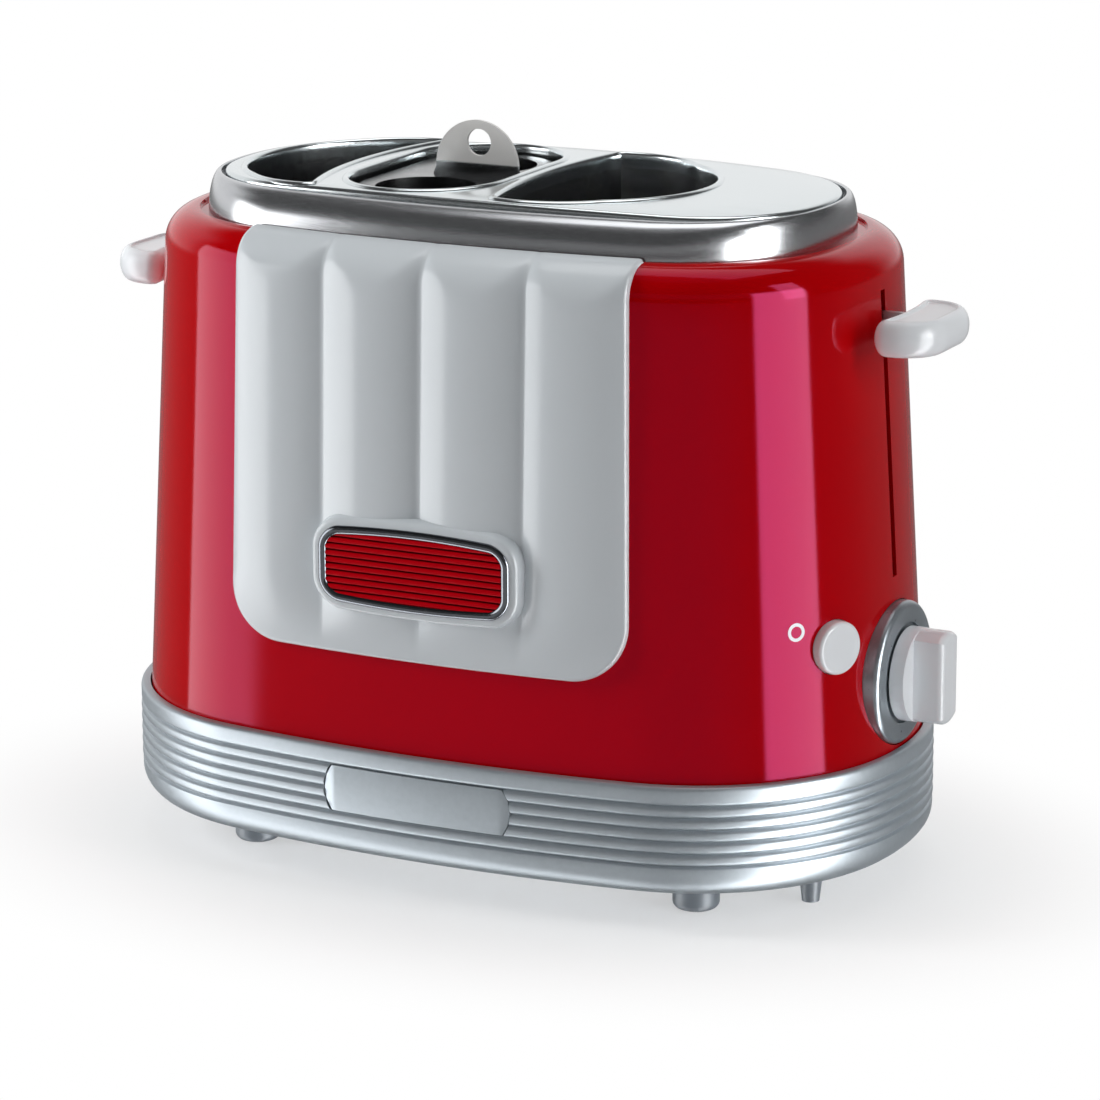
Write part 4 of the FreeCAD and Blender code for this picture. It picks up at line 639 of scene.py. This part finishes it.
lean_x = COLLAR_LENGTH - PLATE_LENGTH - RIM_GAP - COLLAR_EDGE
lean_y = COLLAR_DEPTH - PLATE_DEPTH - RIM_GAP - COLLAR_EDGE
band = []
for step in range(25):
    turn = math.radians(90.0 * step / 24)
    inward = 1 - math.cos(turn)
    up = COLLAR_FOOT + (COLLAR_TOP - COLLAR_FOOT) * math.sin(turn)
    band.append(oval(COLLAR_LENGTH - lean_x * inward, COLLAR_DEPTH - lean_y * inward, up))
well_length, well_depth = PLATE_LENGTH + RIM_GAP, PLATE_DEPTH + RIM_GAP
ledge_top = PLATE_TOP - PLATE_RIM - 2
for grow, z in ((0.1, COLLAR_TOP - 0.1), (0.0, COLLAR_TOP - 0.5), (0.0, ledge_top)):
    band.append(oval(well_length + grow, well_depth + grow, z))
for z in (ledge_top, COLLAR_FOOT):
    band.append(oval(PLATE_LENGTH - LEDGE, PLATE_DEPTH - LEDGE, z))
collar = welded(shell("collar_steel", band, sharp=35.0), 35.0)
dress(collar, "polished_steel", "collar_ring", finish=COLLAR_STEEL)

# Steel plate: a domed sheet with a rounded rim, and a rolled bead round each opening

def dome(x, y):
    """Height of the plate's slight dome."""
    return PLATE_TOP - PLATE_CROWN + math.sqrt(PLATE_CROWN ** 2 - x ** 2 - y ** 2)


def arc(start, through, stop, count=24):
    """Points after start along the arc to stop through a third point."""
    (ax, ay), (bx, by), (cx, cy) = start, through, stop
    a_square, b_square, c_square = ax * ax + ay * ay, bx * bx + by * by, cx * cx + cy * cy
    twice = 2 * (ax * (by - cy) + bx * (cy - ay) + cx * (ay - by))
    ux = (a_square * (by - cy) + b_square * (cy - ay) + c_square * (ay - by)) / twice
    uy = (a_square * (cx - bx) + b_square * (ax - cx) + c_square * (bx - ax)) / twice
    radius = math.hypot(ax - ux, ay - uy)
    first, middle, last = (math.atan2(y - uy, x - ux) for x, y in (start, through, stop))
    sweep = (last - first) % (2 * math.pi)
    if (middle - first) % (2 * math.pi) > sweep:
        sweep -= 2 * math.pi
    turns = [first + sweep * n / count for n in range(1, count + 1)]
    return [(ux + radius * math.cos(turn), uy + radius * math.sin(turn)) for turn in turns]


def left_outline():
    """The left bun slot: a bowed far side with large corners, and a near side bowed the same way."""
    far, near, corner, reach = -103.0, -66.0, -58.5, OPENING_REACH
    blend = far + 0.42 * (corner - far)
    rx, ry = (corner + blend) / 2 - 2, reach * 0.95
    ends = [(corner, -reach), (corner, reach), (blend, reach * 0.8), (blend, -reach * 0.8)]
    return (arc(ends[0], (near, 0), ends[1]) + arc(ends[1], (rx, ry), ends[2])
            + arc(ends[2], (far, 0), ends[3]) + arc(ends[3], (rx, -ry), ends[0]))


def right_outline():
    """The right bun slot: wider, with long sides that bow apart."""
    near, corner, far, reach = 6.0, 11.5, 66.0, OPENING_REACH
    blend = far - 0.38 * (far - corner)
    rx, ry = (corner + blend) / 2 + 3, reach * 0.985
    ends = [(corner, -reach), (blend, -reach * 0.78), (blend, reach * 0.78), (corner, reach)]
    return (arc(ends[0], (rx, -ry), ends[1]) + arc(ends[1], (far, 0), ends[2])
            + arc(ends[2], (rx, ry), ends[3]) + arc(ends[3], (near, 0), ends[0]))


def basket_outline():
    """The basket's opening: straight sides and half round ends."""
    left, right = -54.5, -1.0
    middle, radius = (left + right) / 2, (right - left) / 2
    straight = OPENING_REACH - radius
    points = [(right, y) for y in spread(-straight, straight, 7)[1:]]
    points += arc((right, straight), (middle, straight + radius), (left, straight))
    points += [(left, y) for y in spread(straight, -straight, 7)[1:]]
    return points + arc((left, -straight), (middle, -straight - radius), (right, -straight))


def offset(points, grow):
    """Move an anticlockwise outline out along its own normals."""
    moved = []
    for n, (x, y) in enumerate(points):
        (ax, ay), (bx, by) = points[n - 1], points[(n + 1) % len(points)]
        long = math.hypot(bx - ax, by - ay)
        moved.append((x + grow * (by - ay) / long, y - grow * (bx - ax) / long))
    return moved


OPENINGS = {"left": left_outline(), "basket": basket_outline(), "right": right_outline()}

# How far the plate's rim lies in and down, and how far a bead's section lies out and up
RIM = [(2.2, 5.9), (0.9, 5.9), (0.0, 5.2), (0.0, 1.6), (0.12, 1.0), (0.45, 0.45), (0.95, 0.12), (1.6, 0.0)]
BEAD = [(2.6, -0.45), (2.45, 0.0), (2.1, 0.45), (1.6, 0.72), (1.1, 0.8), (0.6, 0.65), (0.2, 0.25),
        (0.0, -0.5), (0.0, -2.0), (0.0, -5.0), (1.0, -5.0), (1.0, -2.2)]
BEAD_REACH = 2.3
sheet_rings = []
for inset, drop in RIM:
    level = oval(PLATE_LENGTH - inset, PLATE_DEPTH - inset, 0.0)
    sheet_rings.append([(x, y, dome(x, y) - drop) for x, y, z in level])
# Inside the rim, the dome has the last level's outline at smaller shares
for share in (0.8, 0.5, 0.2):
    sheet_rings.append([(x * share, y * share, dome(x * share, y * share)) for x, y, z in level])
plate = welded(make("plate_sheet", *solid(sheet_rings)))
openings = []
for outline in OPENINGS.values():
    edge = offset(outline, BEAD_REACH)
    openings.append(cutter("opening_cut", [[(x, y, z) for x, y in edge] for z in (222.0, 245.0)]))
carve(plate, *openings)
dress(plate, "polished_steel", "top_plate", finish=PLATE_STEEL)
for name, outline in OPENINGS.items():
    rings = []
    for out, rise in BEAD:
        rings.append([(x, y, dome(x, y) + rise) for x, y in offset(outline, out)])
    bead = shell("lip_" + name, rings, sharp=50.0)
    dress(welded(bead, 50.0), "polished_steel", "top_plate", finish=PLATE_STEEL)

# Skirt: rounded ribs between narrow grooves, over a rounded foot

GROOVE = ((-0.75, 0.12), (-0.45, 0.5), (-0.2, 0.95), (0.0, 1.05), (0.2, 0.95), (0.45, 0.5), (0.75, 0.12))
SKIRT_RIB = ((1.3, -0.12), (2.075, -0.2), (2.85, -0.12))


def skirt_profile():
    """Height and inset of the skirt's outside, from its floor up to its brow."""
    levels = []
    for step in range(13):
        turn = math.radians(90.0 * step / 12)
        levels.append((SKIRT_FOOT + SKIRT_ROUND * (1 - math.cos(turn)), SKIRT_ROUND * (1 - math.sin(turn))))
    last = GROOVE_FIRST + GROOVE_PITCH * (GROOVES - 1)
    levels.append((GROOVE_FIRST - 1.2, 0.0))
    for groove in range(GROOVES):
        base = GROOVE_FIRST + GROOVE_PITCH * groove
        section = GROOVE if groove == GROOVES - 1 else GROOVE + SKIRT_RIB
        levels += [(base + up, inset) for up, inset in section]
    levels.append((last + 1.4, -0.1))
    for down, inset in ((1.6, -0.1), (0.8, 0.1), (0.25, 0.5), (0.0, 1.1)):
        levels.append((BODY_FOOT - down, inset))
    return levels


SKIRT_LENGTH, SKIRT_DEPTH = BODY_LENGTH + SKIRT_REACH, BODY_DEPTH + SKIRT_REACH
SKIRT_WALL, SKIRT_FLOOR, BODY_SEAT = 6.8, SKIRT_FOOT + 3.5, BODY_FOOT - 5.0
rings = [oval(SKIRT_LENGTH - inset, SKIRT_DEPTH - inset, z) for z, inset in skirt_profile()]
rings += [oval(body_length(BODY_SEAT) + 0.3, body_depth(BODY_SEAT) + 0.3, z) for z in (BODY_FOOT, BODY_SEAT)]
rings += [oval(SKIRT_LENGTH - SKIRT_WALL, SKIRT_DEPTH - SKIRT_WALL, z) for z in (BODY_SEAT, SKIRT_FLOOR)]
rings += [oval(98.0, 40.0, z) for z in (SKIRT_FLOOR, SKIRT_FOOT)]
skirt = welded(shell("skirt_ribbed", rings, sharp=35.0), 35.0)


def plate_shape(name, inset):
    """A prism over the nameplate's outline, with bulging ends, through the front of the skirt."""
    half, low = NAMEPLATE_HALF - inset, GROOVE_FIRST + GROOVE_PITCH + inset
    high = GROOVE_FIRST + GROOVE_PITCH * (GROOVES - 1) - inset
    middle, bulge = (low + high) / 2, half + NAMEPLATE_BULGE
    edge = [(half, low)] + arc((half, low), (bulge, middle), (half, high), 16)
    edge += [(-half, high)] + arc((-half, high), (-bulge, middle), (-half, low), 16)[:-1] + [(-half, low)]
    return cutter(name, [[(x, y, z) for x, z in edge] for y in (-60.0, -100.0)])


def skirt_core(name, inset):
    """The skirt's plain oval, moved in by a distance."""
    return cutter(name, [oval(SKIRT_LENGTH - inset, SKIRT_DEPTH - inset, z) for z in (5.0, 60.0)])


def tray_box(name, gap, back):
    """The space of the tray's front at the rear of the skirt, less a gap all round."""
    return block(name, (TRAY_LEFT + gap, TRAY_RIGHT - gap), (back, 104.0), (TRAY_LOW + gap, TRAY_HIGH - gap))


recess = plate_shape("recess_cut", 0.0)
carve(recess, skirt_core("recess_back", RECESS_DEPTH))
skirt_points = [tuple(point.co / MM) for point in skirt.data.vertices]
skirt_faces = [tuple(face.vertices) for face in skirt.data.polygons]
tray_front = welded(make("tray_front_ribbed", skirt_points, skirt_faces, body="tray"), 35.0)
carve(tray_front, tray_box("tray_front_box", TRAY_GAP, 60.2), operation="INTERSECT", sharp=35.0)
dress(tray_front, "skirt_silver", "tray_front")
gland_cut = drum("gland_cut", (74.0, 90.0, 33.0), (0.0, 1.0, 0.0), 7.8, 20.0)
carve(skirt, recess, tray_box("tray_gap", 0.0, 60.0), gland_cut, sharp=35.0)
dress(skirt, "skirt_silver", "base_skirt")
nameplate = plate_shape("nameplate_bare", NAMEPLATE_GAP)
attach(nameplate, "housing")
carve(nameplate, skirt_core("nameplate_face", NAMEPLATE_GAP), operation="INTERSECT")
carve(nameplate, skirt_core("nameplate_back", RECESS_DEPTH))
bevel = nameplate.modifiers.new("soft_edge", "BEVEL")
bevel.width, bevel.segments = 0.4 * MM, 2
bevel.limit_method, bevel.angle_limit = "ANGLE", math.radians(40)
settle(nameplate, 40.0)
dress(nameplate, "skirt_silver", "nameplate")

# Levers: curved paddles with a full round edge and a dished top

LEVER_MIDDLE, LEVER_THICK, LEVER_HALF, LEVER_TIP, LEVER_TRAVEL = 195.0, 12.0, 23.0, 157.0, 76.0
LEVER_ROOT = body_length(LEVER_MIDDLE - LEVER_TRAVEL) + 1.2
TIP_CORNER, ROOT_CORNER, PADDLE_ROUND, PADDLE_DISH = 15.0, 5.0, 3.6, 0.8


def paddle_outline(inset):
    """The paddle from above: hollow against the body, round at its outer corners."""
    straight = LEVER_HALF - ROOT_CORNER
    tip_x, tip_y = LEVER_TIP - TIP_CORNER, LEVER_HALF - TIP_CORNER
    root_x = LEVER_ROOT - straight ** 2 / (2 * END_ARC) + ROOT_CORNER
    centres = ((tip_x, -tip_y, TIP_CORNER, -90), (tip_x, tip_y, TIP_CORNER, 0),
               (root_x, straight, ROOT_CORNER, 90), (root_x, -straight, ROOT_CORNER, 180))
    points = []
    for x, y, corner, start in centres:
        radius = corner - inset
        for step in range(17):
            turn = math.radians(start + 90 * step / 16)
            points.append((x + radius * math.cos(turn), y + radius * math.sin(turn)))
        if start == 90:
            for hollow_y in (straight * (1 - step / 6) for step in range(1, 12)):
                points.append((LEVER_ROOT - hollow_y ** 2 / (2 * END_ARC) + inset, hollow_y))
    return points


def paddle(name, side):
    """The lever's paddle at the right end (side 1) or the left end (side -1)."""
    rings = []
    thick = LEVER_THICK / 2
    for step in range(-8, 9):
        turn = math.radians(90.0 * step / 8)
        outline = paddle_outline(PADDLE_ROUND * (1 - math.cos(turn)))
        rings.append([(x, y, thick * math.sin(turn)) for x, y in outline])
    middle = (LEVER_ROOT + LEVER_TIP) / 2
    for share in (0.97, 0.93, 0.88, 0.7, 0.4, 0.1):
        dip = PADDLE_DISH * smooth((1 - share) / 0.12)
        rings.append([(middle + (x - middle) * share, y * share, thick - dip) for x, y in outline])
    points, faces = solid(rings)
    placed = [(side * x, side * y, LEVER_MIDDLE + z) for x, y, z in points]
    lever = welded(make(name, placed, faces, body="carriage"), 60.0)
    seat = sorted((side * (LEVER_ROOT - 5), side * (LEVER_ROOT + 9)))
    carve(lever, block("arm_seat", seat, (-1.0, 1.0), (LEVER_MIDDLE - 5, LEVER_MIDDLE + 5)), sharp=50.0)
    return lever


dress(paddle("lever_paddle_right", 1), "handle_white", "lever_right")
dress(paddle("lever_paddle_left", -1), "handle_white", "lever_left")

# Off mark: a plain white ring, barely raised, beside the stop button

MARK_X, MARK_Y, MARK_HEIGHT, MARK_INNER, MARK_OUTER = 124.0, -50.6, 101.0, 2.0, 3.1
corner_radius, corner_x, corner_y = oval_arcs(body_length(MARK_HEIGHT), body_depth(MARK_HEIGHT))[2:]
mark_out = Vector((MARK_X - corner_x, MARK_Y + corner_y, 0.0)).normalized()
mark_at = Vector((corner_x, -corner_y, MARK_HEIGHT)) + mark_out * corner_radius
mark_turn = (mark_out + Vector((0.0, 0.0, 0.052))).to_track_quat("Z", "Y")
mark_rings = []
for radius, lift in ((MARK_INNER, -0.4), (MARK_INNER, 0.12), (MARK_OUTER, 0.08), (MARK_OUTER, -0.4)):
    mark_rings.append(circle(mark_at, mark_turn, radius, lift, 48))
dress(shell("off_mark", mark_rings), "handle_white")

# Camera: its place, and the ways back and right of it, fitted to the photograph's square frame

CAMERA_PLACE, CAMERA_ROLL = (0.6928, -1.3658, 0.5035), -0.2
back = Vector((0.43398, -0.86475, 0.25275)).normalized()
right = Vector((0.89377, 0.44854, 0.0)).normalized()
roll = Matrix.Rotation(math.radians(CAMERA_ROLL), 3, back)
right, up = roll @ right, roll @ back.cross(right)
lens = bpy.data.cameras.new("camera")
lens.sensor_width = 36.0
lens.lens = 148.95
lens.clip_end = 20.0
camera = bpy.data.objects.new("camera", lens)
camera.matrix_world = Matrix((right, up, back)).transposed().to_4x4()
camera.matrix_world.translation = Vector(CAMERA_PLACE)
bpy.context.scene.collection.objects.link(camera)
bpy.context.scene.camera = camera

# Floor: it keeps the part's shadow near by, and about a quarter of a metre out the camera sees it as white

floor_mesh = bpy.data.meshes.new("floor")
floor_mesh.from_pydata([(-6, -6, 0), (6, -6, 0), (6, 6, 0), (-6, 6, 0)], [], [(0, 1, 2, 3)])
floor = bpy.data.objects.new("floor", floor_mesh)
bpy.context.scene.collection.objects.link(floor)
paper = Finish("floor_paper", Roughness=0.6, Specular_IOR_Level=0.2)
paper.drive("Base Color", paper.mix(paper.noise(3.0), colour(238, 238, 239), colour(242, 242, 243)))
spot = paper.place((1.0, 1.35, 1.0))
away = paper.node("ShaderNodeVectorMath", {"operation": "LENGTH"}, {0: spot}, "Value")
seen = paper.node("ShaderNodeLightPath", {}, {}, "Is Camera Ray")
blank = seen * (0.45 + paper.ease(away, 0.10, 0.25) * 0.55)
white = paper.node("ShaderNodeEmission", {}, {"Color": PLAIN, "Strength": 1.0})
matt = Value(paper, paper.shader.outputs[0])
surface = paper.node("ShaderNodeMixShader", {}, {0: blank, 1: matt, 2: white})
paper.tree.links.new(surface.socket, paper.tree.nodes["Material Output"].inputs["Surface"])
floor_mesh.materials.append(paper.material)
floor.visible_glossy = False


# Lamps

def lamp(name, place, aim, size, power, mirrored=True):
    """A large soft lamp, which polished pieces show only if it is mirrored."""
    light = bpy.data.lights.new(name, "AREA")
    light.shape = "RECTANGLE"
    light.size, light.size_y = size
    light.energy = power
    piece = bpy.data.objects.new(name, light)
    piece.location = place
    piece.rotation_euler = (Vector(aim) - Vector(place)).to_track_quat("-Z", "Y").to_euler()
    piece.visible_glossy = mirrored
    bpy.context.scene.collection.objects.link(piece)


MIDDLE = (0.0, 0.0, 0.12)
lamp("key_left", (-1.7, -0.75, 0.85), MIDDLE, (0.5, 1.4), 29.0, mirrored=False)
lamp("side_right", (1.6, -0.1, 0.7), MIDDLE, (0.4, 1.2), 10.0)
lamp("overhead", (0.0, 0.3, 1.8), (0.0, 0.0, 0.1), (1.4, 1.0), 9.0)

# World: white to the camera, a studio room to polished pieces, and an even faint light to all else

world = bpy.data.worlds.new("studio")
bpy.context.scene.world = world
world.use_nodes = True
sky = Graph(world.node_tree)
way = sky.node("ShaderNodeTexCoord", {}, {}, "Generated")
height = sky.node("ShaderNodeSeparateXYZ", {}, {0: way}, "Z")
level_way = sky.node("ShaderNodeVectorMath", {"operation": "MULTIPLY"}, {0: way, 1: (1, 1, 0)})
flat = sky.node("ShaderNodeVectorMath", {"operation": "NORMALIZE"}, {0: level_way})


def towards(degrees):
    """How far a direction on the level points to an azimuth, from -1 to 1."""
    turn = math.radians(degrees)
    aim = (math.cos(turn), math.sin(turn), 0.0)
    return sky.node("ShaderNodeVectorMath", {"operation": "DOT_PRODUCT"}, {0: flat, 1: aim}, "Value")


def strip(degrees, half, top):
    """A tall strip light: as wide as twice half, and up to a height."""
    edge = math.cos(math.radians(half))
    return sky.ease(towards(degrees), edge - 0.01, edge) * (1 - sky.ease(height, top - 0.1, top))


def band_between(foot, foot_end, head, head_end):
    """1 between two heights, with a soft foot and a soft head."""
    return sky.ease(height, foot, foot_end) * (1 - sky.ease(height, head, head_end))


# The room: a backdrop behind, a table and a dim wall in front, a strip light each side and a dim one above

BACKDROP, LEFT_STRIP, RIGHT_STRIP, ABOVE, FRONT_WALL, ROOM, DIFFUSE = 0.95, 4.6, 11.0, 0.2, 0.2, 0.06, 0.14
backdrop = sky.ease(towards(130), 0.35, 0.75) * band_between(-0.12, 0.02, 0.5, 0.72)
lit_table = 0.14 + sky.ease(towards(-90), 0.3, 0.95) * 0.44
table = (1 - sky.ease(height, -0.10, 0.0)) * lit_table * (0.4 + sky.ease(height, -0.75, -0.35) * 0.6)
above = sky.ease(height, 0.86, 0.95) * ABOVE
strips = strip(-152, 17, 0.42) * LEFT_STRIP + strip(-11, 16, 0.40) * RIGHT_STRIP
front_wall = sky.ease(towards(-60), 0.2, 0.8) * band_between(0.1, 0.22, 0.36, 0.46) * FRONT_WALL
studio = front_wall + backdrop * BACKDROP + table * (1 - backdrop) + above + strips + ROOM
rays = sky.node("ShaderNodeLightPath", {}, {}, "Is Camera Ray")
shiny = sky.node("ShaderNodeLightPath", {}, {}, "Is Glossy Ray")
clear = sky.node("ShaderNodeLightPath", {}, {}, "Is Transmission Ray")
mirrored = shiny + clear
strength = rays + mirrored * studio + (1 - rays) * (1 - mirrored) * DIFFUSE
background = world.node_tree.nodes["Background"]
world.node_tree.links.new(strength.socket, background.inputs["Strength"])
background.inputs["Color"].default_value = PLAIN

bpy.context.scene.view_settings.view_transform = "Standard"
